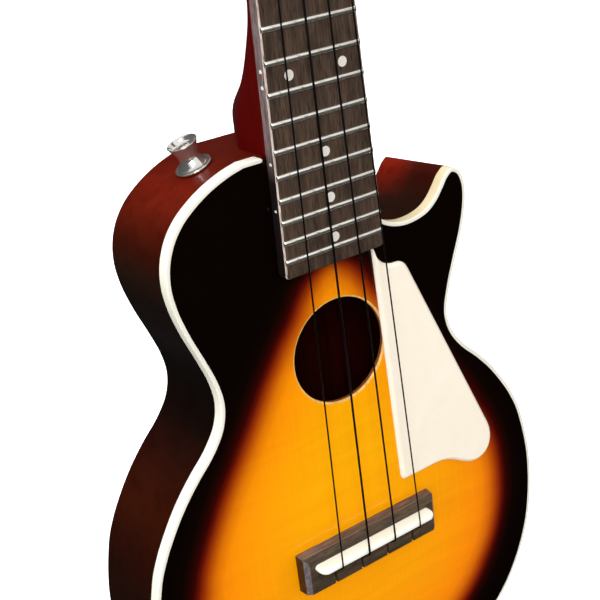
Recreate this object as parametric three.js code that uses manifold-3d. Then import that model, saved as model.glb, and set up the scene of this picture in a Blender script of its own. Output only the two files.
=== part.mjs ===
// A concert ukulele with a single cutaway and geared tuning machines.
// Millimetres. The origin is on the centre line at the fretboard end of the nut, in the plane of the
// soundboard's face. +Z runs up the neck to the headstock, +Y runs into the body towards its back,
// and +X is the treble side, where the cutaway is.

import * as THREE from 'three';
import { mergeVertices } from 'three/addons/utils/BufferGeometryUtils.js';
import Module from 'manifold-3d';

const wasm = await Module();
wasm.setup();

// ---------------------------------------------------------------- driving dimensions

const TOUCH_GAP = 0.05;           // between glued faces that lie in one plane
const TURNED_GAP = 0.3;           // between neighbours that meet inside a tilted group

const SCALE_LENGTH = 380;
const FRET_COUNT = 19;
const STRING_COUNT = 4;

const BODY_DEPTH = 45;
const NECK_JOIN_Z = -212.5;
const TONGUE_HALF_WIDTH = 23.4;   // the part of the body that carries the fretboard's end
const BINDING_START_X = -24.4;    // the binding begins just beside the fretboard
const TOP_THICKNESS = 2.2;
const BACK_THICKNESS = 2;
const SIDE_THICKNESS = 2;
const BINDING_WIDTH = 1.7;
const BINDING_HEIGHT = 5;
const LINING_WIDTH = 2.6;
const LINING_HEIGHT = 7;
const LINING_GAP = 0.3;           // between the linings or the neck block and the sides
const BRACE_WIDTH = 6;
const BRACE_HEIGHT = 6;
const NECK_BLOCK_END_Z = -243;
const TAIL_BLOCK_HALF_WIDTH = 20;
const TAIL_BLOCK_Z = [-482.4, -470];
const TAIL_BLOCK_GAP = 0.5;       // from the tail block to the linings
const BRIDGE_PLATE_HALF_LENGTH = 45;
const BRIDGE_PLATE_Z = [-408, -376];
const BRIDGE_PLATE_THICKNESS = 2.2;
const HOLE_RADIUS = 22.3;
const HOLE_Z = -299.4;

const NUT_WIDTH = 34;
const NUT_LENGTH = 5;
const NUT_TOP = 7.5;
const LAST_FRET_WIDTH = 47.4;
const BOARD_THICKNESS = 4.8;
const BOARD_END_Z = -260.2;
const FRET_WIDTH = 2.2;
const FRET_HEIGHT = 1;

const NECK_DEPTH = 10.4;
const HEEL_DEPTH = 43;
const HEEL_START_Z = -157.5;
const HEEL_FULL_Z = -200.5;
const HEEL_SWELL = 1.39;          // how late the heel deepens between those two
const HEEL_FLAT = 0.44;           // share of its depth over which the heel's cheeks stay parallel

const HEAD_TILT = THREE.MathUtils.degToRad(12);
const HEAD_THICKNESS = 12;
const HEAD_LENGTH = 110;
const HEAD_HALF_WIDTH = 32;

const BRIDGE_X = 1.3;             // the bridge sits this far towards the treble side
const BRIDGE_HALF_LENGTH = 36;
const BRIDGE_FRONT_Z = -381.9;
const BRIDGE_BACK_Z = -399.9;
const BRIDGE_HEIGHT = 6.5;
const SADDLE_Z = -387.8;
const SADDLE_THICKNESS = 3;
const SADDLE_HALF_LENGTH = 30.9;
const SADDLE_TOP = 12.4;
const SADDLE_SLOT_DEPTH = 4;

const GUARD_THICKNESS = 2;

const STRING_RADII = [0.34, 0.46, 0.4, 0.32];
const NUT_SPACING = 7.8;
const SADDLE_SPACING = 14.1;
const STRING_NUT_HEIGHT = 6.9;

const POST_X = 18.5;
const POST_UP_HEAD = [34, 76];    // distances from the nut's far edge to the two rows of posts
const POST_RADIUS = 2.9;
const POST_FRONT = 11.5;          // how far a post stands above the headstock's face
const POST_HOLE_RADIUS = 3.3;
const GEAR_RADIUS = 4.6;
const GEAR_THICKNESS = 4;
const GEAR_NEAR = 1.3;            // from the headstock's back to the gear
const WORM_RADIUS = 2.2;
const WORM_LENGTH = 7;
const SHAFT_RADIUS = 1.5;
const SHAFT_HOLE_RADIUS = 1.8;
const WORM_OFFSET = 7;            // from the post's axis to the worm's axis
const HOUSING_HALF_WIDTH = 7;
const HOUSING_DEPTH = 8.7;
const HOUSING_WALL = 1.3;
const SHAFT_REACH = 16;           // from the post's axis to the button

const BUTTON_HEIGHT = 10.6;
const SHOULDER_BUTTON_X = -41.5;
const BUTTON_DEPTH = 21;

// ---------------------------------------------------------------- materials

function material(name, color, roughness, metalness = 0) {
  return new THREE.MeshStandardMaterial({ name, color, roughness, metalness });
}

const SUNBURST = material('sunburst_top', 0xf08a00, 0.18);
const RED_WOOD = material('red_rim', 0x5c1408, 0.2);
const NECK_WOOD = material('neck_wood', 0x4a0a06, 0.22);
const ROSEWOOD = material('rosewood', 0x4b3c34, 0.5);
const BARE_WOOD = material('bare_wood', 0xc89a62, 0.8);
const IVORY = material('binding', 0xf6ecc8, 0.25);
const CREAM = material('pickguard', 0xfbf1df, 0.3);
const BONE = material('bone', 0xfafaf4, 0.35);
const NICKEL = material('fret_metal', 0xd8d4cc, 0.25, 1);
const CHROME = material('chrome', 0xd5d5d8, 0.1, 1);
const PEARL = material('tuner_button', 0xf2ead6, 0.25);
const NYLON = material('string', 0x0c0c0c, 0.35);

// ---------------------------------------------------------------- geometry helpers

function meshOf(name, geometry, finish) {
  const mesh = new THREE.Mesh(geometry, finish);
  mesh.name = name;
  return mesh;
}

function solidOf(geometry) {
  const bare = geometry.clone();
  bare.deleteAttribute('normal');
  bare.deleteAttribute('uv');
  const merged = mergeVertices(bare, 1e-4);
  return new wasm.Manifold(new wasm.Mesh({
    numProp: 3,
    vertProperties: new Float32Array(merged.attributes.position.array),
    triVerts: new Uint32Array(merged.index.array),
  }));
}

function geometryOf(solid) {
  const mesh = solid.getMesh();
  const geometry = new THREE.BufferGeometry();
  geometry.setAttribute('position', new THREE.BufferAttribute(mesh.vertProperties, 3));
  geometry.setIndex(new THREE.BufferAttribute(mesh.triVerts, 1));
  geometry.computeVertexNormals();
  return geometry;
}

function cut(geometry, ...tools) {
  return geometryOf(tools.reduce((rest, tool) => rest.subtract(solidOf(tool)), solidOf(geometry)));
}

function join(...pieces) {
  return geometryOf(pieces.map(solidOf).reduce((sum, piece) => sum.add(piece)));
}

// A flat outline in the X-Z plane, given as Vector2 (x, z), made into a plate between two depths.
function plate(outline, nearY, farY, holes = []) {
  const shape = outline instanceof THREE.Shape ? outline : new THREE.Shape(outline);
  shape.holes.push(...holes);
  const geometry = new THREE.ExtrudeGeometry(shape, {
    depth: farY - nearY,
    bevelEnabled: false,
    curveSegments: 10,
  });
  return geometry.rotateX(Math.PI / 2).translate(0, farY, 0);
}

function box(low, high) {
  const size = high.map((value, axis) => value - low[axis]);
  const middle = high.map((value, axis) => (value + low[axis]) / 2);
  return new THREE.BoxGeometry(...size).translate(...middle);
}

function cylinderAlong(axis, radius, start, end, segments = 20) {
  const geometry = new THREE.CylinderGeometry(radius, radius, end - start, segments);
  geometry.translate(0, (start + end) / 2, 0);
  if (axis === 'x') geometry.rotateZ(-Math.PI / 2);
  return geometry;
}

// A closed skin through rings of points. Every ring is convex and has the same number of points.
function loft(rings) {
  const count = rings[0].length;
  const vertices = rings.flat().flatMap((point) => point.toArray());
  const faces = [];
  for (let ring = 0; ring + 1 < rings.length; ring += 1) {
    for (let k = 0; k < count; k += 1) {
      const a = ring * count + k;
      const b = ring * count + (k + 1) % count;
      faces.push(a, b, b + count, a, b + count, a + count);
    }
  }
  const last = (rings.length - 1) * count;
  for (let k = 1; k + 1 < count; k += 1) {
    faces.push(0, k + 1, k);
    faces.push(last, last + k, last + k + 1);
  }
  const geometry = new THREE.BufferGeometry();
  geometry.setAttribute('position', new THREE.Float32BufferAttribute(vertices, 3));
  geometry.setIndex(faces);
  geometry.computeVertexNormals();
  return geometry;
}

// ---------------------------------------------------------------- body outline

const BASS_SHOULDER = [
  [-33, -212.5], [-40, -214.3], [-48.5, -217.7], [-55.7, -221.9], [-61.8, -226.8],
  [-66.6, -233], [-69.8, -240.6], [-71, -249], [-70, -258.6], [-66.8, -270],
  [-61.9, -283], [-58.6, -293],
];

const TREBLE_HORN = [
  [TONGUE_HALF_WIDTH, -244.5], [26, -250], [32, -253.8], [40.5, -255.4], [49.9, -253.7],
  [54.8, -250.4], [58.6, -246], [61.6, -242.2], [65.4, -239.9], [69.4, -241.8], [72, -247.6],
  [71.9, -256], [69, -267.5], [64, -280], [59.6, -292],
];

// Half of the lower bout, from the waist to the tail, as distances from the centre line.
const LOWER_BOUT = [
  [57.4, -302], [59.4, -311], [65, -319.5], [73.8, -328.4], [81.2, -337],
  [87.4, -346], [92.8, -355.5], [97, -366], [101.8, -395], [97.4, -431], [80, -461],
  [47, -481.5],
];

const TAIL = [0, -487.5];
const POINTS_PER_SPAN = 4;

function smoothThrough(points, perSpan) {
  const knots = points.map(([x, z]) => new THREE.Vector3(x, z, 0));
  const curve = new THREE.CatmullRomCurve3(knots, false, 'centripetal');
  return curve.getPoints(perSpan * (points.length - 1)).map(({ x, y }) => new THREE.Vector2(x, y));
}

// The outline runs from the neck round the bass side, past the tail and back up the treble side.
// The spline crosses the tail, so that it is smooth there.
function bodyOutline(perSpan = POINTS_PER_SPAN) {
  const mirrored = LOWER_BOUT.map(([x, z]) => [-x, z]);
  const bassHalf = [...BASS_SHOULDER, ...mirrored];
  const around = [...bassHalf, TAIL, ...LOWER_BOUT.toReversed(), ...TREBLE_HORN.toReversed()];
  const curve = smoothThrough(around, perSpan);
  const tail = perSpan * bassHalf.length;
  const middle = new THREE.Vector2(0, NECK_JOIN_Z);
  const bindingStart = new THREE.Vector2(BINDING_START_X, NECK_JOIN_Z);
  const corner = new THREE.Vector2(TONGUE_HALF_WIDTH, NECK_JOIN_Z);
  return { points: [middle, bindingStart, ...curve, corner], tail: tail + 2 };
}

// Every point moved inwards by its own distance, square to the outline, with mitred corners.
function inset(points, distanceAt) {
  return points.map((point, index) => {
    const before = points[(index + points.length - 1) % points.length];
    const after = points[(index + 1) % points.length];
    const incoming = point.clone().sub(before).normalize();
    const outgoing = after.clone().sub(point).normalize();
    const a = new THREE.Vector2(-incoming.y, incoming.x);
    const b = new THREE.Vector2(-outgoing.y, outgoing.x);
    const reach = distanceAt(point, index) / (1 + a.dot(b));
    return point.clone().addScaledVector(a.add(b), reach);
  });
}

const OUTLINE = bodyOutline();
const FIRST_BOUND = 1;                                   // the binding starts beside the neck
const LAST_BOUND = OUTLINE.points.length - 3;            // and ends under the fretboard's edge

function insetOutline(distance, outline = OUTLINE) {
  return inset(outline.points, () => distance);
}

// The strip between two insets of the outline, from one point number to another.
function strip(outer, inner, first, last) {
  return [...outer.slice(first, last + 1), ...inner.slice(first, last + 1).reverse()];
}

// ---------------------------------------------------------------- body

function soundboard() {
  const isBound = (index) => index >= FIRST_BOUND && index <= LAST_BOUND;
  const edge = inset(OUTLINE.points, (point, index) => (isBound(index) ? BINDING_WIDTH + TOUCH_GAP : 0));
  const hole = new THREE.Path().absarc(0, HOLE_Z, HOLE_RADIUS, 0, Math.PI * 2, true);
  const rim = hole.getPoints(40).slice(1);
  return meshOf('soundboard', plate(edge, 0, TOP_THICKNESS, [new THREE.Path(rim)]), SUNBURST);
}

function backPlate() {
  return meshOf('back_plate', plate(OUTLINE.points, BODY_DEPTH - BACK_THICKNESS, BODY_DEPTH), RED_WOOD);
}

// A bent side. The binding's ledge is left out of it, except along the tongue, where there is none.
function side(name, [first, last], [tongueFirst, tongueLast], seam) {
  const outer = insetOutline(0);
  const inner = insetOutline(SIDE_THICKNESS);
  outer.push(outer[0]);
  inner.push(inner[0]);
  const keepSeam = (point) => (Math.abs(point.x) < 1e-6 ? new THREE.Vector2(seam, point.y) : point);
  const whole = strip(outer, inner, first, last).map(keepSeam);
  const tongue = strip(outer, inner, tongueFirst, tongueLast).map(keepSeam);
  const ledge = BINDING_HEIGHT + TOUCH_GAP;
  const wall = plate(whole, ledge, BODY_DEPTH - BACK_THICKNESS - TOUCH_GAP);
  return meshOf(name, join(wall, plate(tongue, TOP_THICKNESS + TOUCH_GAP, ledge)), RED_WOOD);
}

function binding() {
  const inner = insetOutline(BINDING_WIDTH);
  const ring = strip(OUTLINE.points, inner, FIRST_BOUND, LAST_BOUND);
  return meshOf('top_binding', plate(ring, 0, BINDING_HEIGHT), IVORY);
}

function lining(name, nearY) {
  const coarse = bodyOutline(2);
  const outer = insetOutline(SIDE_THICKNESS + LINING_GAP, coarse);
  const inner = insetOutline(SIDE_THICKNESS + LINING_GAP + LINING_WIDTH, coarse);
  const clearOfBlock = (point) => point.x < -26 || point.y < -257 || point.x > 26;
  const first = outer.findIndex((point, index) => index > 0 && clearOfBlock(point));
  const last = outer.findLastIndex((point) => clearOfBlock(point));
  const ring = strip(outer, inner, first, last);
  return meshOf(name, plate(ring, nearY, nearY + LINING_HEIGHT), BARE_WOOD);
}

function neckBlock() {
  const half = TONGUE_HALF_WIDTH - SIDE_THICKNESS - LINING_GAP;
  const low = [-half, TOP_THICKNESS + TOUCH_GAP, NECK_BLOCK_END_Z];
  const high = [half, BODY_DEPTH - BACK_THICKNESS - TOUCH_GAP, NECK_JOIN_Z - SIDE_THICKNESS - LINING_GAP];
  return meshOf('neck_block', box(low, high), BARE_WOOD);
}

function tailBlock() {
  const half = TAIL_BLOCK_HALF_WIDTH;
  const margin = LINING_HEIGHT + TAIL_BLOCK_GAP;
  const [lowZ, highZ] = TAIL_BLOCK_Z;
  const low = [-half, TOP_THICKNESS + margin, lowZ];
  const high = [half, BODY_DEPTH - BACK_THICKNESS - margin, highZ];
  return meshOf('tail_block', box(low, high), BARE_WOOD);
}

function brace(name, z, halfLength, nearY) {
  const low = [-halfLength, nearY, z - BRACE_WIDTH / 2];
  const high = [halfLength, nearY + BRACE_HEIGHT, z + BRACE_WIDTH / 2];
  return meshOf(name, box(low, high), BARE_WOOD);
}

function bridgePlate() {
  const near = TOP_THICKNESS + TOUCH_GAP;
  const half = BRIDGE_PLATE_HALF_LENGTH;
  const [lowZ, highZ] = BRIDGE_PLATE_Z;
  const plate = box([-half, near, lowZ], [half, near + BRIDGE_PLATE_THICKNESS, highZ]);
  return meshOf('bridge_plate', plate, BARE_WOOD);
}

// ---------------------------------------------------------------- pickguard

function pickguard() {
  const outline = new THREE.Shape();
  outline.moveTo(20, -260.9);
  outline.bezierCurveTo(22.4, -267.6, 25, -270.6, 31.5, -270.8);
  outline.bezierCurveTo(35.5, -270.8, 37, -273.8, 38.4, -277.4);
  outline.lineTo(75.6, -363.6);
  outline.bezierCurveTo(79.2, -373.2, 74, -380.4, 66, -379.8);
  outline.bezierCurveTo(58, -378.6, 54.5, -371.4, 43, -371.2);
  outline.lineTo(26.4, -371.3);
  outline.quadraticCurveTo(23.9, -371.3, 23.7, -368.6);
  outline.closePath();
  return meshOf('pickguard', plate(outline, -GUARD_THICKNESS, -TOUCH_GAP), CREAM);
}

// ---------------------------------------------------------------- bridge and saddle

function bridgeRing(height, halfLength, frontZ) {
  return [
    new THREE.Vector3(BRIDGE_X - halfLength, -height, BRIDGE_BACK_Z),
    new THREE.Vector3(BRIDGE_X + halfLength, -height, BRIDGE_BACK_Z),
    new THREE.Vector3(BRIDGE_X + halfLength, -height, frontZ),
    new THREE.Vector3(BRIDGE_X - halfLength, -height, frontZ),
  ];
}

function saddleOutline(growth) {
  const radius = SADDLE_THICKNESS / 2 + growth;
  const reach = SADDLE_HALF_LENGTH - SADDLE_THICKNESS / 2;
  const outline = new THREE.Shape();
  outline.absarc(BRIDGE_X + reach, SADDLE_Z, radius, -Math.PI / 2, Math.PI / 2);
  outline.absarc(BRIDGE_X - reach, SADDLE_Z, radius, Math.PI / 2, Math.PI * 1.5);
  return outline;
}

function bridge() {
  const block = loft([
    bridgeRing(TOUCH_GAP, BRIDGE_HALF_LENGTH, BRIDGE_FRONT_Z),
    bridgeRing(BRIDGE_HEIGHT - 1.8, BRIDGE_HALF_LENGTH - 0.5, BRIDGE_FRONT_Z - 0.4),
    bridgeRing(BRIDGE_HEIGHT, BRIDGE_HALF_LENGTH - 2.6, BRIDGE_FRONT_Z - 2.6),
  ]);
  const saddleSlot = plate(saddleOutline(0.1), -BRIDGE_HEIGHT - 1, -BRIDGE_HEIGHT + SADDLE_SLOT_DEPTH);
  const stringSlots = stringPlaces(SADDLE_SPACING, BRIDGE_X).map((x) => (
    box([x - 0.6, -BRIDGE_HEIGHT - 1, BRIDGE_BACK_Z - 1], [x + 0.6, -2, BRIDGE_BACK_Z + 7.6])
  ));
  return meshOf('bridge', cut(block, saddleSlot, ...stringSlots), ROSEWOOD);
}

function saddle() {
  const bottom = -BRIDGE_HEIGHT + SADDLE_SLOT_DEPTH - 0.1;
  return meshOf('saddle', plate(saddleOutline(0), -SADDLE_TOP, bottom), BONE);
}

// ---------------------------------------------------------------- fretboard, frets and nut

function fretZ(number) {
  return -SCALE_LENGTH * (1 - 2 ** (-number / 12));
}

function boardHalfWidth(z) {
  return (NUT_WIDTH + (LAST_FRET_WIDTH - NUT_WIDTH) * z / fretZ(FRET_COUNT)) / 2;
}

function fretboard() {
  const wide = boardHalfWidth(BOARD_END_Z);
  const narrow = NUT_WIDTH / 2;
  const chamfer = 2;
  const outline = new THREE.Shape();
  outline.moveTo(-narrow, 0);
  outline.lineTo(-wide, BOARD_END_Z + chamfer);
  outline.lineTo(-wide + chamfer, BOARD_END_Z);
  outline.lineTo(wide - chamfer, BOARD_END_Z);
  outline.lineTo(wide, BOARD_END_Z + chamfer);
  outline.lineTo(narrow, 0);
  return meshOf('fretboard', plate(outline, -BOARD_THICKNESS, -TOUCH_GAP), ROSEWOOD);
}

function fret(number) {
  const half = boardHalfWidth(fretZ(number)) - 0.2;
  const crown = new THREE.Shape();
  crown.moveTo(-FRET_WIDTH / 2, 0);
  crown.quadraticCurveTo(-FRET_WIDTH / 2, FRET_HEIGHT, 0, FRET_HEIGHT);
  crown.quadraticCurveTo(FRET_WIDTH / 2, FRET_HEIGHT, FRET_WIDTH / 2, 0);
  const bar = new THREE.ExtrudeGeometry(crown, { depth: 2 * half, bevelEnabled: false, curveSegments: 3 });
  bar.translate(0, 0, -half).rotateY(Math.PI / 2).rotateX(Math.PI);
  bar.translate(0, -BOARD_THICKNESS - TOUCH_GAP, fretZ(number));
  return meshOf(`fret_${String(number).padStart(2, '0')}`, bar, NICKEL);
}

function nut() {
  const half = NUT_WIDTH / 2;
  const notchTop = STRING_NUT_HEIGHT - 0.55;
  const outline = new THREE.Shape();
  outline.moveTo(-half, TOUCH_GAP);
  outline.lineTo(half, TOUCH_GAP);
  outline.lineTo(half, NUT_TOP);
  for (const x of stringPlaces(NUT_SPACING).reverse()) {
    outline.lineTo(x + 0.6, NUT_TOP);
    outline.lineTo(x + 0.6, notchTop);
    outline.lineTo(x - 0.6, notchTop);
    outline.lineTo(x - 0.6, NUT_TOP);
  }
  outline.lineTo(-half, NUT_TOP);
  const bar = new THREE.ExtrudeGeometry(outline, { depth: NUT_LENGTH - TOUCH_GAP, bevelEnabled: false });
  bar.rotateZ(Math.PI).translate(0, 0, TOUCH_GAP);
  return meshOf('nut', bar, BONE);
}

// ---------------------------------------------------------------- neck and headstock

// The heel's half width at a share of its depth: parallel cheeks, then a taper to a rounded back.
function heelShare(deep) {
  const taper = 1 - Math.max(0, deep - HEEL_FLAT);
  const roundFrom = 0.88;
  const past = Math.max(0, (deep - roundFrom) / (1 - roundFrom));
  return taper * Math.sqrt(Math.max(0, 1 - past * past));
}

function neckRing(z, halfWidth, depth, blend) {
  const steps = 16;
  const ring = [];
  for (let k = 0; k <= steps; k += 1) {
    const angle = Math.PI * k / steps;
    const deep = Math.sin(angle);
    const half = (1 - blend) * Math.sqrt(Math.max(0, 1 - deep * deep)) + blend * heelShare(deep);
    ring.push(new THREE.Vector3(halfWidth * half * Math.sign(steps / 2 - k), depth * deep, z));
  }
  return ring;
}

function heelBlend(z) {
  return THREE.MathUtils.clamp((HEEL_START_Z - z) / (HEEL_START_Z - HEEL_FULL_Z), 0, 1) ** HEEL_SWELL;
}

function neckAndHeel() {
  const end = NECK_JOIN_Z + TOUCH_GAP;
  const stations = [end];
  for (let z = HEEL_FULL_Z; z < HEEL_START_Z; z += 4.3) stations.push(z);
  stations.push(-150, -120, -80, -40, 0, NUT_LENGTH);
  return loft(stations.map((z) => {
    const blend = heelBlend(z);
    const halfWidth = boardHalfWidth(Math.min(z, 0)) - 0.1;
    const depth = NECK_DEPTH + (HEEL_DEPTH - NECK_DEPTH) * blend;
    return neckRing(z, halfWidth, depth, blend);
  }));
}

function headstockPlate() {
  const root = NUT_WIDTH / 2;
  const wide = HEAD_HALF_WIDTH;
  const top = HEAD_LENGTH;
  const crownStart = top - 12;
  const flareEnd = 30;
  const outline = new THREE.Shape();
  outline.moveTo(root, -5);
  outline.lineTo(root, 4);
  outline.bezierCurveTo(root, 16, wide - 3, 14, wide - 2, flareEnd);
  outline.lineTo(wide, crownStart);
  outline.bezierCurveTo(wide, top - 3, 14, top, 0, top);
  outline.bezierCurveTo(-14, top, -wide, top - 3, -wide, crownStart);
  outline.lineTo(-wide + 2, flareEnd);
  outline.bezierCurveTo(-wide + 3, 14, -root, 16, -root, 4);
  outline.lineTo(-root, -5);
  return plate(outline, 0, HEAD_THICKNESS);
}

// The headstock's own frame: its face is the plane y = 0 and z runs along it from the nut's far edge.
function headFrame() {
  return new THREE.Matrix4().makeRotationX(-HEAD_TILT).setPosition(0, 0, NUT_LENGTH);
}

function neck() {
  const postHoles = postPlaces().map(({ x, z }) => (
    cylinderAlong('y', POST_HOLE_RADIUS, -5, HEAD_THICKNESS + 5).translate(x, 0, z)
  ));
  const head = cut(headstockPlate(), ...postHoles).applyMatrix4(headFrame());
  const whole = join(neckAndHeel(), head);
  const aboveFace = box([-40, -10, -10], [40, 0, NUT_LENGTH + 0.01]);
  return meshOf('neck', cut(whole, aboveFace), NECK_WOOD);
}

// ---------------------------------------------------------------- tuning machines

// Post 1 is the bass side's nearer post, 2 its further one, 3 the treble side's further one, 4 its nearer.
function postPlaces() {
  const [near, far] = POST_UP_HEAD;
  return [
    { x: -POST_X, z: near, outward: -1 },
    { x: -POST_X, z: far, outward: -1 },
    { x: POST_X, z: far, outward: 1 },
    { x: POST_X, z: near, outward: 1 },
  ];
}

function gearMiddle() {
  return HEAD_THICKNESS + GEAR_NEAR + GEAR_THICKNESS / 2;
}

function stringPost(name) {
  const gearTop = HEAD_THICKNESS + GEAR_NEAR;
  const profile = [
    [0, -POST_FRONT], [POST_RADIUS - 0.5, -POST_FRONT], [POST_RADIUS, -POST_FRONT + 0.6],
    [POST_RADIUS, -POST_FRONT + 3], [POST_RADIUS - 0.7, -POST_FRONT + 5], [POST_RADIUS, -POST_FRONT + 8],
    [POST_RADIUS, gearTop], [GEAR_RADIUS, gearTop], [GEAR_RADIUS, gearTop + GEAR_THICKNESS],
    [1.6, gearTop + GEAR_THICKNESS], [1.6, gearTop + GEAR_THICKNESS + 1], [0, gearTop + GEAR_THICKNESS + 1],
  ].map(([radius, y]) => new THREE.Vector2(radius, y));
  return meshOf(name, new THREE.LatheGeometry(profile, 18), CHROME);
}

function wormShaft(name, outward) {
  const half = WORM_LENGTH / 2;
  const profile = [
    [0, -HOUSING_HALF_WIDTH - 0.6], [SHAFT_RADIUS, -HOUSING_HALF_WIDTH - 0.6], [SHAFT_RADIUS, -half],
    [WORM_RADIUS, -half], [WORM_RADIUS, half], [SHAFT_RADIUS, half],
    [SHAFT_RADIUS, SHAFT_REACH], [0, SHAFT_REACH],
  ].map(([radius, along]) => new THREE.Vector2(radius, along));
  const geometry = new THREE.LatheGeometry(profile, 14).rotateZ(-outward * Math.PI / 2);
  return meshOf(name, geometry.translate(0, gearMiddle(), WORM_OFFSET), CHROME);
}

function housing(name) {
  const near = HEAD_THICKNESS + TURNED_GAP;
  const far = near + HOUSING_DEPTH;
  const low = -HOUSING_HALF_WIDTH;
  const high = WORM_OFFSET + WORM_RADIUS + 1.8;
  const corner = 3;
  const outline = new THREE.Shape();
  outline.absarc(-low - corner, high - corner, corner, 0, Math.PI / 2);
  outline.absarc(low + corner, high - corner, corner, Math.PI / 2, Math.PI);
  outline.absarc(low + corner, low + corner, corner, Math.PI, Math.PI * 1.5);
  outline.absarc(-low - corner, low + corner, corner, Math.PI * 1.5, Math.PI * 2);
  const wall = HOUSING_WALL;
  const shell = new THREE.ExtrudeGeometry(outline, {
    depth: HOUSING_DEPTH, bevelEnabled: false, curveSegments: 3,
  });
  shell.rotateX(Math.PI / 2).translate(0, far, 0);
  const cavity = box([low + wall, near - 1, low + wall], [-low - wall, far - wall, high - wall]);
  const shaftHole = cylinderAlong('x', SHAFT_HOLE_RADIUS, -12, 12, 14);
  shaftHole.translate(0, gearMiddle(), WORM_OFFSET);
  return meshOf(name, cut(shell, cavity, shaftHole), CHROME);
}

function tunerButton(name, outward) {
  const outline = new THREE.Shape();
  outline.absellipse(0, 0, 5.8, 7, 0, Math.PI * 2);
  const button = new THREE.ExtrudeGeometry(outline, {
    depth: 3.6, bevelEnabled: true, bevelThickness: 1.6, bevelSize: 1.4, bevelSegments: 2, curveSegments: 9,
  });
  button.translate(0, 0, -1.8).rotateX(Math.PI / 2);
  const centre = outward * (SHAFT_REACH + TOUCH_GAP + 7.2);
  return meshOf(name, button.translate(centre, gearMiddle(), WORM_OFFSET), PEARL);
}

function tuner(place, number) {
  const machine = new THREE.Group();
  machine.position.set(place.x, 0, place.z);
  machine.add(
    stringPost(`string_post_${number}`),
    wormShaft(`worm_shaft_${number}`, place.outward),
    housing(`tuner_housing_${number}`),
    tunerButton(`tuner_button_${number}`, place.outward),
  );
  return machine;
}

function tuners() {
  const head = new THREE.Group();
  head.applyMatrix4(headFrame());
  postPlaces().forEach((place, index) => head.add(tuner(place, index + 1)));
  return head;
}

// ---------------------------------------------------------------- strings

function stringPlaces(spacing, middle = 0) {
  return [-1.5, -0.5, 0.5, 1.5].map((step) => middle + step * spacing);
}

// A curve of straight spans whose sample points are exactly the corners it is given.
class CornerPath extends THREE.Curve {
  constructor(corners) {
    super();
    this.corners = corners;
  }

  getPoint(t) {
    const place = t * (this.corners.length - 1);
    const index = Math.min(Math.floor(place + 1e-6), this.corners.length - 2);
    return this.corners[index].clone().lerp(this.corners[index + 1], place - index);
  }

  getPointAt(t) {
    return this.getPoint(t);
  }

  getTangentAt(t) {
    return this.getTangent(t);
  }
}

function stringRoute(index, radius) {
  const saddleX = stringPlaces(SADDLE_SPACING, BRIDGE_X)[index];
  const nutX = stringPlaces(NUT_SPACING)[index];
  const post = postPlaces()[index];
  const overSaddle = SADDLE_TOP + radius + 0.08;
  const inward = post.x - post.outward * (POST_RADIUS + radius + 0.3);
  const atPost = new THREE.Vector3(inward, -POST_FRONT + 5.4, post.z).applyMatrix4(headFrame());
  return [
    new THREE.Vector3(saddleX, -3.2, BRIDGE_BACK_Z + 1),
    new THREE.Vector3(saddleX, -3.2, BRIDGE_BACK_Z + 4.6),
    new THREE.Vector3(saddleX, -overSaddle, SADDLE_Z - SADDLE_THICKNESS / 2 - 0.4),
    new THREE.Vector3(saddleX, -overSaddle, SADDLE_Z + SADDLE_THICKNESS / 2),
    new THREE.Vector3(nutX, -STRING_NUT_HEIGHT, 0),
    new THREE.Vector3(nutX, -STRING_NUT_HEIGHT, NUT_LENGTH),
    atPost,
  ];
}

function string(index) {
  const radius = STRING_RADII[index];
  const section = new THREE.Shape();
  section.absarc(0, 0, radius, 0, Math.PI * 2);
  const route = stringRoute(index, radius);
  const geometry = new THREE.ExtrudeGeometry(section, {
    steps: route.length - 1, extrudePath: new CornerPath(route), curveSegments: 4,
  });
  return meshOf(`string_${index + 1}`, geometry, NYLON);
}

// ---------------------------------------------------------------- strap buttons

function strapButton(name, point, outward) {
  const top = BUTTON_HEIGHT;
  const profile = [
    [0, 0], [7.2, 0], [7.2, 0.9], [5.8, 1.3], [4.6, 2.9], [3.9, 4.7], [4.1, 5.8], [5.9, top - 0.5],
    [6.1, top], [5.6, top], [3.1, top - 2.2], [0, top - 2.2],
  ].map(([radius, along]) => new THREE.Vector2(radius, along));
  const seat = new THREE.Group();
  seat.position.copy(point).addScaledVector(outward, TURNED_GAP);
  seat.quaternion.setFromUnitVectors(new THREE.Vector3(0, 1, 0), outward);
  seat.add(meshOf(name, new THREE.LatheGeometry(profile, 24), CHROME));
  return seat;
}

// The place on the bass shoulder with a given x, and the rim's outward direction there.
function shoulderPlace(x) {
  const { points, tail } = OUTLINE;
  const index = points.findIndex((point, k) => k > 2 && k < tail && point.x < x);
  const [a, b] = [points[index - 1], points[index]];
  const share = (a.x - x) / (a.x - b.x);
  const spot = a.clone().lerp(b, share);
  const along = b.clone().sub(a).normalize();
  return {
    point: new THREE.Vector3(spot.x, BUTTON_DEPTH, spot.y),
    outward: new THREE.Vector3(along.y, 0, -along.x),
  };
}

// ---------------------------------------------------------------- assembly

const ukulele = new THREE.Group();
const innerNear = TOP_THICKNESS + TOUCH_GAP;
const backFace = BODY_DEPTH - BACK_THICKNESS - TOUCH_GAP;
const wrap = OUTLINE.points.length;

ukulele.add(
  soundboard(),
  backPlate(),
  side('side_bass', [0, OUTLINE.tail], [0, FIRST_BOUND], -TOUCH_GAP),
  side('side_treble', [OUTLINE.tail, wrap], [LAST_BOUND, wrap], TOUCH_GAP),
  binding(),
  neckBlock(),
  tailBlock(),
  lining('top_lining', innerNear),
  lining('back_lining', backFace - LINING_HEIGHT),
  brace('top_brace_upper', -270, 56, innerNear),
  brace('top_brace_lower', -331, 64, innerNear),
  bridgePlate(),
  brace('back_brace', -374, 88, backFace - BRACE_HEIGHT),
  pickguard(),
  bridge(),
  saddle(),
  fretboard(),
  nut(),
  neck(),
  tuners(),
);

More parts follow.
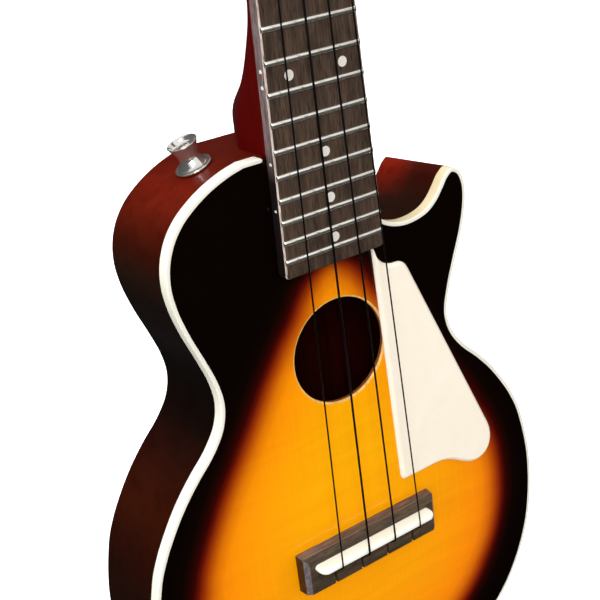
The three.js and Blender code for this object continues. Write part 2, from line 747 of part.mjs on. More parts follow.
for (let number = 1; number <= FRET_COUNT; number += 1) {
  ukulele.add(fret(number));
}

for (let index = 0; index < STRING_COUNT; index += 1) {
  ukulele.add(string(index));
}

const shoulder = shoulderPlace(SHOULDER_BUTTON_X);
ukulele.add(strapButton('strap_button_shoulder', shoulder.point, shoulder.outward));

const tailPoint = new THREE.Vector3(TAIL[0], BUTTON_DEPTH, TAIL[1]);
ukulele.add(strapButton('strap_button_tail', tailPoint, new THREE.Vector3(0, 0, -1)));

export default ukulele;
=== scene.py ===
import math

import bpy
import bmesh
import numpy as np
from mathutils.geometry import delaunay_2d_cdt
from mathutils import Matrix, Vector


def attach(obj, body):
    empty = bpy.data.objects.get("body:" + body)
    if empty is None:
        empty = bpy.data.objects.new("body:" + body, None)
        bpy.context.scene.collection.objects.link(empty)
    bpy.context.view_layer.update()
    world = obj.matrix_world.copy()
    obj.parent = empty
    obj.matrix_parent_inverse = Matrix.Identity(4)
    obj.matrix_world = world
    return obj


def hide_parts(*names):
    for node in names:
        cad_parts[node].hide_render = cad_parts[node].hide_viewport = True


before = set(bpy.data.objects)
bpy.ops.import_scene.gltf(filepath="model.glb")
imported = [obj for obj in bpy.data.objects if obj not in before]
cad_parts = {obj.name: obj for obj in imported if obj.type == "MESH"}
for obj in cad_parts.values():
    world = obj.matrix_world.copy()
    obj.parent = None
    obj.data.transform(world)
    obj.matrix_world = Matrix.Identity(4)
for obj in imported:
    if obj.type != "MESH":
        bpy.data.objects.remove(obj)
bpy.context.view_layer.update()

SCENE = bpy.context.scene
ROOT = "instrument"
LOOKS = {}

# ---- dimensions, in millimetres

SCALE_LENGTH = 380.0
FRET_COUNT = 19
PER_SPAN = 8
BODY_DEPTH = 45.0
WIDEST = 101.79
JOIN_Z = -212.5
TONGUE_HALF = 23.4
BINDING_START_X = -24.4
BINDING_WIDTH = 1.7
BINDING_HEIGHT = 5.0
SIDE_THICKNESS = 2.0
TOP_THICKNESS = 2.2
TOP_MESH_SPACING = 3.2
BACK_TOP = 43.0
BACK_ROUND = 2.8
HORN_LEAN = 2.2
HAIRLINE = 0.05              # between glued pieces
HOLE_RADIUS = 22.3
HOLE_Z = -299.4
HOLE_POINTS = 120
NUT_WIDTH = 34.0
NUT_LENGTH = 5.0
NUT_TOP = 7.5
LAST_FRET_WIDTH = 47.4
BOARD_THICKNESS = 4.8
BOARD_END_Z = -260.2
DOTTED_FRETS = (3, 5, 7, 9, 12, 15, 17, 19)
DOUBLE_DOT = 12
DOT_X = 0.5
DOT_HEIGHT = 0.05
NECK_DEPTH = 10.4
HEEL_DEPTH = 43.0
HEEL_START_Z = -157.5
HEEL_FULL_Z = -200.5
HEEL_SWELL = 1.39
HEEL_CORNER = 0.16
HEEL_FLAT = 0.44
HEAD_TILT = math.radians(12)
HEAD_THICKNESS = 12.0
HEAD_LENGTH = 110.0
BRIDGE_X = 1.3
BRIDGE_HALF = 36.0
BRIDGE_FRONT_Z = -381.9
BRIDGE_BACK_Z = -399.9
BRIDGE_HEIGHT = 6.5
SADDLE_Z = -387.8
SADDLE_HALF = 30.9
SADDLE_THICKNESS = 3.0
SADDLE_TOP = 12.4
STRING_RADII = (0.34, 0.46, 0.4, 0.32)
STRING_TURNS = 3.2           # round each post
NUT_SPACING = 7.8
SADDLE_SPACING = 14.1
STRING_NUT_HEIGHT = 6.9
STRING_BRIDGE_HEIGHT = 3.2   # where it is knotted
STRING_POST_HEIGHT = 6.1     # at the post's waist
POSTS = ((-18.5, 34.0, -1), (-18.5, 76.0, -1), (18.5, 76.0, 1), (18.5, 34.0, 1))
POST_RADIUS = 2.9
POST_HOLE_RADIUS = 3.3
HOUSING_DEPTH = 9.0
HOUSING_WALL = 1.3
SHAFT_HOLE_RADIUS = 1.85
GEAR_MIDDLE = 15.3
GEAR_TEETH = 14
WORM_OFFSET = 7.0
WORM_PITCH = 1.2
BUTTON_MIDDLE = 23.25        # along the shaft from the post
BUTTON_HALF = (7.2, 8.35)
STRAP_BUTTONS = {
    "strap_button_shoulder": ((-41.5977, 21.0, -214.5328), (-0.325574, 0.0, 0.945516)),
    "strap_button_tail": ((0.0, 21.0, -487.8), (0.0, 0.0, -1.0)),
}

BASS_SHOULDER = [
    (-33, -212.5), (-40, -214.3), (-48.5, -217.7), (-55.7, -221.9), (-61.8, -226.8), (-66.6, -233),
    (-69.8, -240.6), (-71, -249), (-70, -258.6), (-66.8, -270), (-61.9, -283), (-58.6, -293),
]
TREBLE_HORN = [
    (23.4, -244.5), (26, -250), (32, -253.8), (40.5, -255.4), (49.9, -253.7), (54.8, -250.4),
    (58.6, -246), (61.6, -242.2), (65.4, -239.9), (69.4, -241.8), (72, -247.6), (71.9, -256),
    (69, -267.5), (64, -280), (59.6, -292),
]
LOWER_BOUT = [
    (57.4, -302), (59.4, -311), (65, -319.5), (73.8, -328.4), (81.2, -337), (87.4, -346),
    (92.8, -355.5), (97, -366), (101.8, -395), (97.4, -431), (80, -461), (47, -481.5),
]
TAIL = (0, -487.5)

# half of the sunburst's clear heart, from the centre line round to it again
BURST_CORE = [
    (0, -258), (12, -268), (19.5, -279), (28, -289), (36, -300), (43.5, -312), (51.5, -324),
    (59.5, -336), (66.5, -348), (73, -360), (78, -372), (81.5, -390), (79, -415), (71.5, -432),
    (55, -452), (30, -464), (0, -468),
]
# how the stain changes with the distance inside that heart
BURST_TONES = [
    (-14, (8, 2, 0)), (-9, (14, 3, 0)), (-6, (32, 3, 0)), (-3.7, (52, 2, 0)), (-1.5, (95, 15, 0)),
    (0, (128, 38, 0)), (1.3, (150, 52, 0)), (4, (190, 88, 0)), (6, (215, 112, 0)), (8.5, (232, 128, 0)),
    (11, (246, 143, 0)), (16, (253, 152, 0)), (26, (255, 163, 0)), (45, (255, 174, 0)),
]

# how the colour of the rim, the back and the neck changes with height. The neck's is its stain. The rim's and
# the back's are a dark stain with painted light and shade on it: lighter where the shoulder faces up, darkest
# at the waist; the back reuses the rim's upper tones
BACK_TONES_LOW = [(-490, (50, 22, 12)), (-420, (46, 20, 11)), (-350, (34, 15, 9))]
RIM_TONES_LOW = [(-490, (44, 18, 10)), (-430, (33, 12, 5)), (-378, (29, 8, 2)), (-357, (42, 11, 3)),
                 (-343, (52, 15, 3)), (-325, (34, 9, 4))]
RIM_TONES_HIGH = [(-315, (18, 7, 4)), (-290, (12, 6, 3)), (-262, (26, 12, 7)), (-250, (38, 20, 11)),
                  (-240, (52, 13, 3)), (-230, (78, 17, 4)), (-220, (102, 20, 3)), (-215, (90, 18, 4)),
                  (-205, (70, 18, 8))]
NECK_TONES = [(-215, (80, 3, 1)), (-150, (84, 3, 1)), (20, (84, 6, 3)), (120, (80, 7, 3))]
# a painted highlight on the cutaway's wall
CUTAWAY_PAINTED_HIGHLIGHT = (136, 26, 4)


# ---- camera, light and floor, in metres

FLOOR_Z = -0.512
FLOOR_REACH = 6.0
FLOOR_CELLS = 12
BODY_MIDDLE = (0, 0, -0.3)
BACKDROP_LIGHT = 1.05        # what the camera sees
AMBIENT_LIGHT = 0.53         # what matt surfaces gather
PANEL_LIGHT = 0.95           # what glossy surfaces mirror from the panels
DIM_LIGHT = 0.02             # and from everywhere
REAR_PANEL_SHARE = 0.5


def add_camera():
    data = bpy.data.cameras.new("camera")
    data.lens = 67.94
    data.sensor_width = 36
    data.clip_start = 0.01
    camera = bpy.data.objects.new("camera", data)
    camera.location = (-0.2325, -0.3435, -0.1038)
    camera.rotation_euler = [math.radians(angle) for angle in (67.356, 6.834, -35.055)]
    SCENE.collection.objects.link(camera)
    SCENE.camera = camera


def add_light(name, location, size, power, glossy=False):
    """A soft lamp aimed at the body, mirrored by glossy surfaces only if glossy."""
    data = bpy.data.lights.new(name, "AREA")
    data.shape = "RECTANGLE"
    data.size, data.size_y = size
    data.energy = power
    lamp = bpy.data.objects.new(name, data)
    lamp.location = location
    aim = Vector(BODY_MIDDLE) - Vector(location)
    lamp.rotation_euler = aim.to_track_quat("-Z", "Y").to_euler()
    lamp.visible_camera = False
    lamp.visible_glossy = glossy
    SCENE.collection.objects.link(lamp)


class Graph:
    """A tree of shader nodes."""

    def __init__(self, tree):
        self.tree = tree

    def add(self, kind, *inputs, **settings):
        """A node. Each input is (slot, value) or (slot, the socket that feeds it)."""
        node = self.tree.nodes.new(kind)
        for key, value in settings.items():
            setattr(node, key, value)
        for slot, value in inputs:
            if isinstance(value, bpy.types.NodeSocket):
                self.tree.links.new(value, node.inputs[slot])
            else:
                node.inputs[slot].default_value = value
        return node

    def axes(self, space):
        """X, Y and Z of a place in Object space, or of a Generated direction."""
        place = self.add("ShaderNodeTexCoord").outputs[space]
        return self.add("ShaderNodeSeparateXYZ", (0, place)).outputs

    def math(self, operation, *values):
        return self.add("ShaderNodeMath", *enumerate(values), operation=operation).outputs[0]

    def times(self, first, second):
        return self.math("MULTIPLY", first, second)

    def span(self, value, low, high, out_low=0.0, out_high=1.0, kind="LINEAR"):
        limits = enumerate((value, low, high, out_low, out_high))
        return self.add("ShaderNodeMapRange", *limits, interpolation_type=kind).outputs[0]


def add_world():
    """White to the camera, even on matt surfaces, and three soft panels for glossy ones."""
    world = bpy.data.worlds.new("studio")
    world.use_nodes = True
    SCENE.world = world
    world.node_tree.nodes.clear()
    graph = Graph(world.node_tree)

    def rise(value, low, high):
        return graph.span(value, low, high, kind="SMOOTHSTEP")

    def glow(strength):
        return graph.add("ShaderNodeBackground", (0, (1, 1, 1, 1)), (1, strength)).outputs[0]

    def choose(share, first, second):
        return graph.add("ShaderNodeMixShader", (0, share), (1, first), (2, second)).outputs[0]

    x, y, z = graph.axes("Generated")
    overhead = graph.times(rise(z, 0.45, 0.62), rise(y, 0.65, 0.45))
    front = graph.times(rise(y, -0.25, -0.5), rise(z, 0.02, 0.2))
    low_rear = graph.times(rise(y, 0.1, 0.45), rise(z, -0.28, -0.42))
    rear = graph.times(graph.times(low_rear, rise(x, 0.05, 0.4)), REAR_PANEL_SHARE)
    panels = graph.math("MAXIMUM", graph.math("MAXIMUM", overhead, front), rear)
    mirrored = graph.math("MULTIPLY_ADD", panels, PANEL_LIGHT, DIM_LIGHT)
    path = graph.add("ShaderNodeLightPath").outputs
    unseen = choose(path["Is Glossy Ray"], glow(AMBIENT_LIGHT), glow(mirrored))
    final = choose(path["Is Camera Ray"], unseen, glow(BACKDROP_LIGHT))
    graph.add("ShaderNodeOutputWorld", (0, final))


def add_studio():
    SCENE.view_settings.view_transform = "Standard"
    add_world()
    add_light("key", (-0.85, -1.35, 0.55), (0.9, 0.9), 19.3, glossy=True)
    add_light("top_light", (-0.35, 0.1, 1.1), (0.9, 0.9), 14.5)
    add_light("side_fill", (-1.5, -0.2, -0.25), (1.0, 1.2), 10.5)
    add_light("treble_fill", (1.5, -0.6, 0.1), (1.0, 1.2), 8.5)
    add_light("back_fill", (0.3, 1.6, 0.2), (1.2, 1.2), 11)


def add_floor():
    look = Look("floor_paper", Roughness=0.9, Emission_Color=(1, 1, 1, 1), Emission_Strength=0.8)
    speck = look.noise((60, 60, 60), 4)
    look.colour(look.ramp(speck, [(0.3, (243, 243, 243)), (0.7, (248, 248, 248))]))
    count = FLOOR_CELLS + 1
    steps = np.linspace(-FLOOR_REACH, FLOOR_REACH, count)
    verts = [(x, y, FLOOR_Z) for x in steps for y in steps]
    faces = [(k, k + count, k + count + 1, k + 1) for k in range(count * FLOOR_CELLS) if (k + 1) % count]
    mesh = bpy.data.meshes.new("floor")
    mesh.from_pydata(verts, [], faces)
    floor = bpy.data.objects.new("floor", mesh)
    floor.data.materials.append(look.material)
    floor.visible_glossy = False
    floor.visible_diffuse = False
    SCENE.collection.objects.link(floor)


# ---- materials

WHITE = (255, 255, 255)
BOARD_GRAIN = (1400, 1400, 110)
BRIDGE_GRAIN = (110, 1400, 1400)


def linear(rgb):
    """An sRGB colour from 0 to 255 as a linear RGBA."""
    share = [channel / 255 for channel in rgb]
    return [c / 12.92 if c < 0.04045 else ((c + 0.055) / 1.055) ** 2.4 for c in share] + [1.0]


class Look(Graph):
    """A procedural material built around one Principled shader, and kept in LOOKS."""

    def __init__(self, name, **sockets):
        self.material = bpy.data.materials.new(name)
        self.material.use_nodes = True
        super().__init__(self.material.node_tree)
        self.shader = self.tree.nodes["Principled BSDF"]
        for socket, value in sockets.items():
            self.shader.inputs[socket.replace("_", " ")].default_value = value
        LOOKS[name] = self.material

    def noise(self, scale, detail=3.0, distortion=0.0):
        """Noise whose cells per metre differ along X, Y and Z."""
        place = self.add("ShaderNodeTexCoord").outputs["Object"]
        spread = self.add("ShaderNodeMapping", ("Vector", place), ("Scale", scale))
        cells = self.add("ShaderNodeTexNoise", ("Vector", spread.outputs[0]), ("Scale", 1.0),
                         ("Detail", detail), ("Distortion", distortion))
        return cells.outputs["Fac"]

    def ramp(self, value, stops):
        """A colour that changes with value, through (value, rgb) stops from 0 to 1."""
        node = self.add("ShaderNodeValToRGB", (0, value))
        elements = node.color_ramp.elements
        for position, _ in stops[2:]:
            elements.new(position)
        for element, (position, rgb) in zip(elements, stops):
            element.position = position
            element.color = linear(rgb)
        return node.outputs[0]

    def stain(self, value, tones):
        """The same through tones at any values."""
        low, high = tones[0][0], tones[-1][0]
        stops = [((tone - low) / (high - low), rgb) for tone, rgb in tones]
        return self.ramp(self.span(value, low, high), stops)

    def mix(self, share, first, second, blend="MIX"):
        colours = (0, share), (6, first), (7, second)
        return self.add("ShaderNodeMix", *colours, data_type="RGBA", blend_type=blend).outputs[2]

    def shade(self, base, value, low, high, dark, light=WHITE, share=1.0):
        """Multiplies a colour by dark where value is low, and by light where it is high."""
        return self.mix(share, base, self.ramp(value, [(low, dark), (high, light)]), "MULTIPLY")

    def colour(self, socket):
        self.tree.links.new(socket, self.shader.inputs["Base Color"])

    def roughness(self, value, low, high):
        self.tree.links.new(self.span(value, 0.3, 0.7, low, high), self.shader.inputs["Roughness"])

    def bump(self, value, depth, strength=1.0):
        """A relief of that depth in metres."""
        node = self.add("ShaderNodeBump", ("Height", value), ("Distance", depth), ("Strength", strength))
        self.tree.links.new(node.outputs[0], self.shader.inputs["Normal"])


def sunburst_look():
    """Figured wood under a stain that darkens outwards; its colour is also a little deeper low on the body.
    """
    look = Look("sunburst_top", Roughness=0.34, Coat_Weight=0.25, Coat_Roughness=0.04,
                Specular_IOR_Level=0.05)
    inside = look.add("ShaderNodeAttribute", attribute_name="burst").outputs["Fac"]
    drift = look.span(look.noise((30, 30, 30), 2), 0, 1, -1.2, 1.2)
    burst = look.stain(look.math("ADD", inside, drift), BURST_TONES)
    flame = look.noise((14, 14, 150), 3, 0.8)
    grain = look.noise((900, 900, 14), 4)
    height = look.span(look.axes("Object")[2], -0.4, -0.35)
    figured = look.shade(burst, flame, 0.3, 0.7, (249, 248, 245))
    deeper = look.shade(figured, height, 0, 1, (255, 238, 215))
    look.colour(look.shade(deeper, grain, 0.35, 0.6, (252, 251, 249)))
    look.roughness(grain, 0.28, 0.34)
    look.bump(look.noise((120, 120, 30), 2), 0.00002, 0.5)


def red_wood_look(name, along, tones, glow=None):
    """Glossy stained mahogany. along is the grain's noise scale, tones its colours from low to high Z, which
    on the rim and the back carry painted light and shade.

    glow is a painted highlight: a brighter red deep in the cutaway."""
    look = Look(name, Roughness=0.36, Coat_Weight=0.25, Coat_Roughness=0.12, Specular_IOR_Level=0.08)
    x, y, z = look.axes("Object")
    reach = look.math("MULTIPLY_ADD", look.math("MAXIMUM", x, 0.0), 0.1, z)
    # on the rim and the back these tones are painted light and shade: lighter at the shoulder, darkest at the
    # waist
    stain = look.stain(reach, [(height / 1000, rgb) for height, rgb in tones])
    # painted highlight: a brighter red deep in the cutaway
    if glow:
        across = look.span(x, 0.032, 0.05)
        deep = look.span(y, 0.02, 0.037)
        high = look.span(z, -0.256, -0.244)
        share = look.times(look.times(across, deep), high)
        stain = look.mix(share, stain, linear(glow))
    fine = look.noise(along, 5, 0.4)
    pores = look.noise([4 * value for value in along], 2)
    figured = look.shade(stain, fine, 0.3, 0.7, (226, 222, 220))
    look.colour(look.shade(figured, pores, 0.36, 0.48, (214, 208, 204), share=0.6))
    look.roughness(fine, 0.28, 0.38)
    look.bump(look.noise((90, 90, 40), 2), 0.00003, 0.4)


def rosewood_look(name, along, tones, shade=None):
    """Open-pored rosewood. shade is a darker tone painted as shade low on the board, over the body."""
    look = Look(name, Roughness=0.55, Specular_IOR_Level=0.3)
    broad = look.noise([value * 0.25 for value in along], 4, 1.0)
    fine = look.noise(along, 6, 0.6)
    pores = look.noise([value * 2.2 for value in along], 3)
    base = look.ramp(broad, list(zip((0.3, 0.5, 0.72), tones)))
    if shade:
        base = look.mix(look.span(look.axes("Object")[2], -0.222, -0.206), linear(shade), base)
    figured = look.shade(base, fine, 0.34, 0.62, (196, 186, 178), (255, 253, 250))
    look.colour(look.shade(figured, pores, 0.36, 0.46, (150, 136, 124), share=0.8))
    look.roughness(fine, 0.48, 0.66)
    look.bump(pores, 0.00008, 0.6)


def bare_wood_look(name, dark, light, specular=0.2):
    look = Look(name, Roughness=0.8, Specular_IOR_Level=specular)
    fine = look.noise((700, 700, 30), 5, 0.5)
    rings = look.noise((220, 220, 6), 3, 0.8)
    base = look.ramp(rings, [(0.35, dark), (0.65, light)])
    look.colour(look.shade(base, fine, 0.35, 0.65, (214, 204, 192), share=0.8))
    look.bump(fine, 0.00005, 0.7)


def plastic_look(name, dark, light, roughness, coat=0.3, painted_shade=None):
    """Polished plastic or bone, with faint clouding and handling marks.

    Its last argument is a pair of darker, yellower tones painted on its side in the cutaway as shade."""
    look = Look(name, Roughness=roughness, Coat_Weight=coat, Coat_Roughness=0.08)
    clouds = look.noise((110, 110, 60), 4, 0.6)
    tone = look.ramp(clouds, [(0.3, dark), (0.7, light)])
    # painted shade on the binding's side in the cutaway
    if painted_shade:
        x, y, _ = look.axes("Object")
        share = look.times(look.span(y, 0.0003, 0.0012), look.span(x, 0.018, 0.026))
        tone = look.mix(share, tone, look.ramp(clouds, list(zip((0.3, 0.7), painted_shade))))
    look.colour(tone)
    look.roughness(look.noise((1500, 1500, 900), 3), roughness - 0.05, roughness + 0.07)
    look.bump(look.noise((160, 160, 160), 2), 0.00003, 0.35)


def pearl_look():
    look = Look("tuner_button", Roughness=0.22, Coat_Weight=0.5, Coat_Roughness=0.05, Sheen_Weight=0.15,
                Subsurface_Weight=0.1, Subsurface_Scale=0.002)
    swirl = look.noise((260, 260, 420), 5, 2.2)
    look.colour(look.ramp(swirl, [(0.28, (206, 196, 176)), (0.45, (240, 233, 218)),
                                  (0.55, (226, 218, 204)), (0.72, (250, 246, 236))]))
    look.roughness(swirl, 0.18, 0.3)


def metal_look(name, dark, light, roughness, scratch, metallic):
    look = Look(name, Metallic=metallic, Roughness=roughness)
    haze = look.noise((300, 300, 300), 3)
    look.colour(look.ramp(haze, [(0.3, dark), (0.7, light)]))
    wear = look.noise(scratch, 4)
    look.roughness(wear, roughness * 0.75, roughness * 1.6)
    look.bump(wear, 0.000012, 0.3)


def string_look():
    look = Look("string", Roughness=0.36, Specular_IOR_Level=0.18)
    tint = look.noise((500, 500, 60), 3)
    look.colour(look.ramp(tint, [(0.3, (3, 3, 3)), (0.7, (9, 8, 8))]))
    look.roughness(tint, 0.3, 0.45)


def rosewood_looks():
    """Rosewood, and copies of it that paint light and shade face by face: painted light on the fretboard's
    side and the bridge's front, a painted highlight on the fretboard's edge and the bridge's bevels, and
    painted shade on the bridge's ends.
    """
    tones = {
        "rosewood": (BOARD_GRAIN, (62, 48, 39), (75, 59, 47), (88, 70, 54)),
        # the fretboard's side in painted light, its edge with a painted highlight
        "board_side_painted_light": (BOARD_GRAIN, (106, 92, 92), (120, 106, 108), (134, 118, 120)),
        "board_edge_painted_highlight": (BOARD_GRAIN, (186, 170, 162), (204, 190, 182), (214, 200, 192)),
        "bridge_rosewood": (BRIDGE_GRAIN, (66, 54, 41), (80, 66, 50), (94, 78, 58)),
        # the bridge's bevels with a painted highlight, its front in painted light, its ends in painted shade
        "bridge_bevel_painted_highlight": (BRIDGE_GRAIN, (96, 88, 92), (112, 104, 110), (130, 122, 130)),
        "bridge_front_painted_light": (BRIDGE_GRAIN, (98, 80, 70), (116, 96, 86), (134, 112, 100)),
        "bridge_end_painted_shade": (BRIDGE_GRAIN, (52, 30, 10), (66, 40, 14), (80, 50, 18)),
    }
    # painted shade on the board's side low over the body
    shades = {"board_side_painted_light": (26, 18, 18)}
    for name, (grain, *colours) in tones.items():
        rosewood_look(name, grain, colours, shades.get(name))


def make_looks():
    sunburst_look()
    red_wood_look("red_rim", (60, 60, 60), RIM_TONES_LOW + RIM_TONES_HIGH, CUTAWAY_PAINTED_HIGHLIGHT)
    red_wood_look("red_back", (300, 300, 14), BACK_TONES_LOW + RIM_TONES_HIGH)
    red_wood_look("neck_wood", (320, 320, 16), NECK_TONES)
    rosewood_looks()
    # painted shade for the inside of the body: bare wood darkened to near black
    bare_wood_look("inside", (36, 4, 1), (48, 7, 2), 0.02)
    bare_wood_look("bare_wood", (122, 76, 40), (168, 112, 64))
    bare_wood_look("hole_edge", (236, 184, 100), (252, 206, 122))
    bare_wood_look("hole_wall", (120, 62, 22), (150, 84, 34))
    # the binding's side in the cutaway gets painted shade
    plastic_look("binding", (230, 226, 209), (236, 233, 219), 0.3, painted_shade=((226, 207, 164), (234, 217, 176)))
    plastic_look("pickguard", (252, 240, 219), (255, 244, 225), 0.3)
    plastic_look("bone", (249, 248, 232), (253, 252, 240), 0.4, coat=0.1)
    plastic_look("inlay", (216, 210, 200), (226, 220, 210), 0.3)
    metal_look("fret_metal", (234, 229, 218), (248, 244, 236), 0.2, (60, 1500, 1500), 0.92)
    metal_look("chrome", (214, 211, 205), (234, 231, 225), 0.07, (400, 400, 400), 0.9)
    pearl_look()
    string_look()


# ---- mesh helpers

def unit(vector):
    return np.asarray(vector, float) / np.linalg.norm(vector)


def circle(count):
    """Evenly spaced points of the unit circle."""
    angles = np.arange(count) * 2 * math.pi / count
    return np.column_stack([np.cos(angles), np.sin(angles)])


def catmull(points, per_span):
    """A centripetal Catmull-Rom curve through the points."""
    p = np.array(points, float)
    p = np.vstack([2 * p[0] - p[1], p, 2 * p[-1] - p[-2]])
    t = (np.arange(per_span) / per_span)[:, None]
    spans = []
    for k in range(1, len(p) - 2):
        a, b, c, d = p[k - 1:k + 3]
        before, here, after = (np.linalg.norm(q) ** 0.5 for q in (b - a, c - b, d - c))
        start = ((b - a) / before - (c - a) / (before + here) + (c - b) / here) * here
        end = ((c - b) / here - (d - b) / (here + after) + (d - c) / after) * here
        bend = 3 * (c - b) - 2 * start - end
        twist = 2 * (b - c) + start + end
        spans.append(b + t * start + t ** 2 * bend + t ** 3 * twist)
    return np.vstack(spans + [p[-2:-1]])


def inset(loop, distance):
    """A closed anticlockwise loop moved inwards, square to itself, with mitred corners."""
    before = loop - np.roll(loop, 1, 0)
    after = np.roll(loop, -1, 0) - loop
    before /= np.linalg.norm(before, axis=1)[:, None]
    after /= np.linalg.norm(after, axis=1)[:, None]
    normals = np.column_stack([-before[:, 1] - after[:, 1], before[:, 0] + after[:, 0]])
    reach = distance / (1 + (before * after).sum(1))
    return loop + normals * np.reshape(reach, (-1, 1))


def soften(points, radius, closed=False, steps=4):
    """Corners of a polyline turned into arcs that start that far from each corner."""
    p = np.array(points, float)
    t = np.linspace(0, 1, steps)[:, None]
    out = []
    for k, corner in enumerate(p):
        if not closed and k in (0, len(p) - 1):
            out.append(corner)
            continue
        sides = p[k - 1] - corner, p[(k + 1) % len(p)] - corner
        start, end = (corner + unit(side) * min(radius, 0.45 * np.linalg.norm(side)) for side in sides)
        out.extend((1 - t) ** 2 * start + 2 * t * (1 - t) * corner + t ** 2 * end)
    return np.array(out)


def rounded(left, right, low, high, radius, steps=4):
    """A rectangle with rounded corners, anticlockwise where low is below high."""
    return soften([(left, low), (right, low), (right, high), (left, high)], radius, closed=True, steps=steps)


def bezier(a, b, c, d, steps=12):
    """Points along a cubic curve, without its last."""
    a, b, c, d = (np.array(point, float) for point in (a, b, c, d))
    t = (np.arange(steps) / steps)[:, None]
    return (1 - t) ** 3 * a + 3 * t * (1 - t) ** 2 * b + 3 * t ** 2 * (1 - t) * c + t ** 3 * d


def wall_between(first, second, count):
    """Faces between two closed rings, from the number of each ring's first vertex."""
    return [(first + k, first + (k + 1) % count, second + (k + 1) % count, second + k) for k in range(count)]


def skin(rings, caps=True):
    """Vertices and faces through rings of points, with a flat cap on each end."""
    count = len(rings[0])
    last = (len(rings) - 1) * count
    faces = []
    for start in range(0, last, count):
        faces += wall_between(start, start + count, count)
    if caps:
        faces.append(tuple(range(count))[::-1])
        faces.append(tuple(range(last, last + count)))
    return np.vstack(rings), faces


def hoop(rings):
    """The same, with the last ring joined to the first."""
    verts, faces = skin(rings, caps=False)
    count = len(rings[0])
    return verts, faces + wall_between(len(verts) - count, 0, count)


def in_plane(a, b, height):
    return a, height, b


def lifted(loop, height, place=in_plane):
    """A flat loop as points in space. place turns (a, b, height) into x, y, z."""
    return np.column_stack(place(*loop.T, np.full(len(loop), float(height))))


def stack(levels, place=in_plane):
    """A closed body through loops at heights."""
    return skin([lifted(loop, height, place) for loop, height in levels])


def bevelled(loop, steps):
    """Levels of one loop from (inset, height) pairs."""
    return [(inset(loop, distance), height) for distance, height in steps]


def frame_across(axis):
    axis = unit(axis)
    side = unit(np.cross(axis, (0, 0, 1) if abs(axis[2]) < 0.9 else (0, 1, 0)))
    return axis, side, np.cross(axis, side)


def lathe(profile, origin, axis, segments=48):
    """A turned body from (radius, height) pairs that start and end on the axis."""
    axis, side, other = frame_across(axis)
    spokes = circle(segments) @ (side, other)
    verts, faces, levels = [], [], []
    for radius, height in profile:
        centre = origin + axis * height
        start = len(verts)
        verts.extend([centre] if radius < 1e-9 else centre + radius * spokes)
        levels.append(range(start, len(verts)))
    for low, high in zip(levels, levels[1:]):
        for k in range(segments):
            n = (k + 1) % segments
            quad = [low[k % len(low)], low[n % len(low)], high[n % len(high)], high[k % len(high)]]
            faces.append(tuple(dict.fromkeys(quad)))
    return np.array(verts), faces


def rod(radius, start, end, origin, axis, segments):
    return lathe([(0, start), (radius, start), (radius, end), (0, end)], origin, axis, segments)


def ring(profile, origin, axis, segments=40):
    """A turned ring from a closed loop of (radius, height) pairs."""
    axis, side, other = frame_across(axis)
    loop = np.array(profile, float)
    return hoop([origin + loop @ (spoke, axis) for spoke in circle(segments) @ (side, other)])


def tube(path, radius, sides=14):
    """A round strand along a path."""
    tangents = np.gradient(path, axis=0)
    tangents /= np.linalg.norm(tangents, axis=1)[:, None]
    _, side, _ = frame_across(tangents[0])
    rings = []
    for point, tangent in zip(path, tangents):
        side = unit(side - tangent * np.dot(side, tangent))
        rings.append(point + radius * circle(sides) @ (side, np.cross(tangent, side)))
    return skin(rings)


def box(low, high):
    x, y, z = zip(low, high)
    corners = [(x[i], y[j], z[k]) for i in (0, 1) for j in (0, 1) for k in (0, 1)]
    faces = [(0, 1, 3, 2), (4, 6, 7, 5), (0, 4, 5, 1), (2, 3, 7, 6), (0, 2, 6, 4), (1, 5, 7, 3)]
    return np.array(corners, float), faces


def joined(shells):
    verts, faces, offset = [], [], 0
    for shell_verts, shell_faces in shells:
        verts.append(shell_verts)
        faces.extend(tuple(k + offset for k in face) for face in shell_faces)
        offset += len(shell_verts)
    return np.vstack(verts), faces


def new_object(name, shell):
    verts, faces = shell
    mesh = bpy.data.meshes.new(name)
    plain = [tuple(int(k) for k in face) for face in faces]
    mesh.from_pydata((np.asarray(verts, float) / 1000).tolist(), [], plain)
    editable = bmesh.new()
    editable.from_mesh(mesh)
    bmesh.ops.recalc_face_normals(editable, faces=editable.faces)
    editable.to_mesh(mesh)
    editable.free()
    made = bpy.data.objects.new(name, mesh)
    SCENE.collection.objects.link(made)
    return made


def carve(target, shells):
    """Cuts closed shells out of an object's mesh."""
    tools = [new_object(f"{target.name}_tool_{k}", shell) for k, shell in enumerate(shells)]
    for tool in tools:
        cut = target.modifiers.new(tool.name, "BOOLEAN")
        cut.operation = "DIFFERENCE"
        cut.solver = "EXACT"
        cut.object = tool
    graph = bpy.context.evaluated_depsgraph_get()
    result = bpy.data.meshes.new_from_object(target.evaluated_get(graph))
    target.modifiers.clear()
    target.data = result
    for tool in tools:
        bpy.data.objects.remove(tool)


def piece(name, shell, look, body=ROOT, node=None, cuts=(), sharp=32):
    """A named piece of the visual model that rides on a body and may stand for a CAD node."""
    made = new_object(name, shell)
    if cuts:
        carve(made, cuts)
    mesh = made.data
    mesh.polygons.foreach_set("use_smooth", [True] * len(mesh.polygons))
    mesh.set_sharp_from_angle(angle=math.radians(sharp))
    mesh.materials.clear()
    mesh.materials.append(LOOKS[look])
    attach(made, body)
    if node:
        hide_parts(node)
    return made


def repaint(made, looks, zone):
    """Gives a piece further looks. zone says which look a face has, 0 for the piece's own."""
    for look in looks:
        made.data.materials.append(LOOKS[look])
    for face in made.data.polygons:
        face.material_index = zone(face)


# ---- body

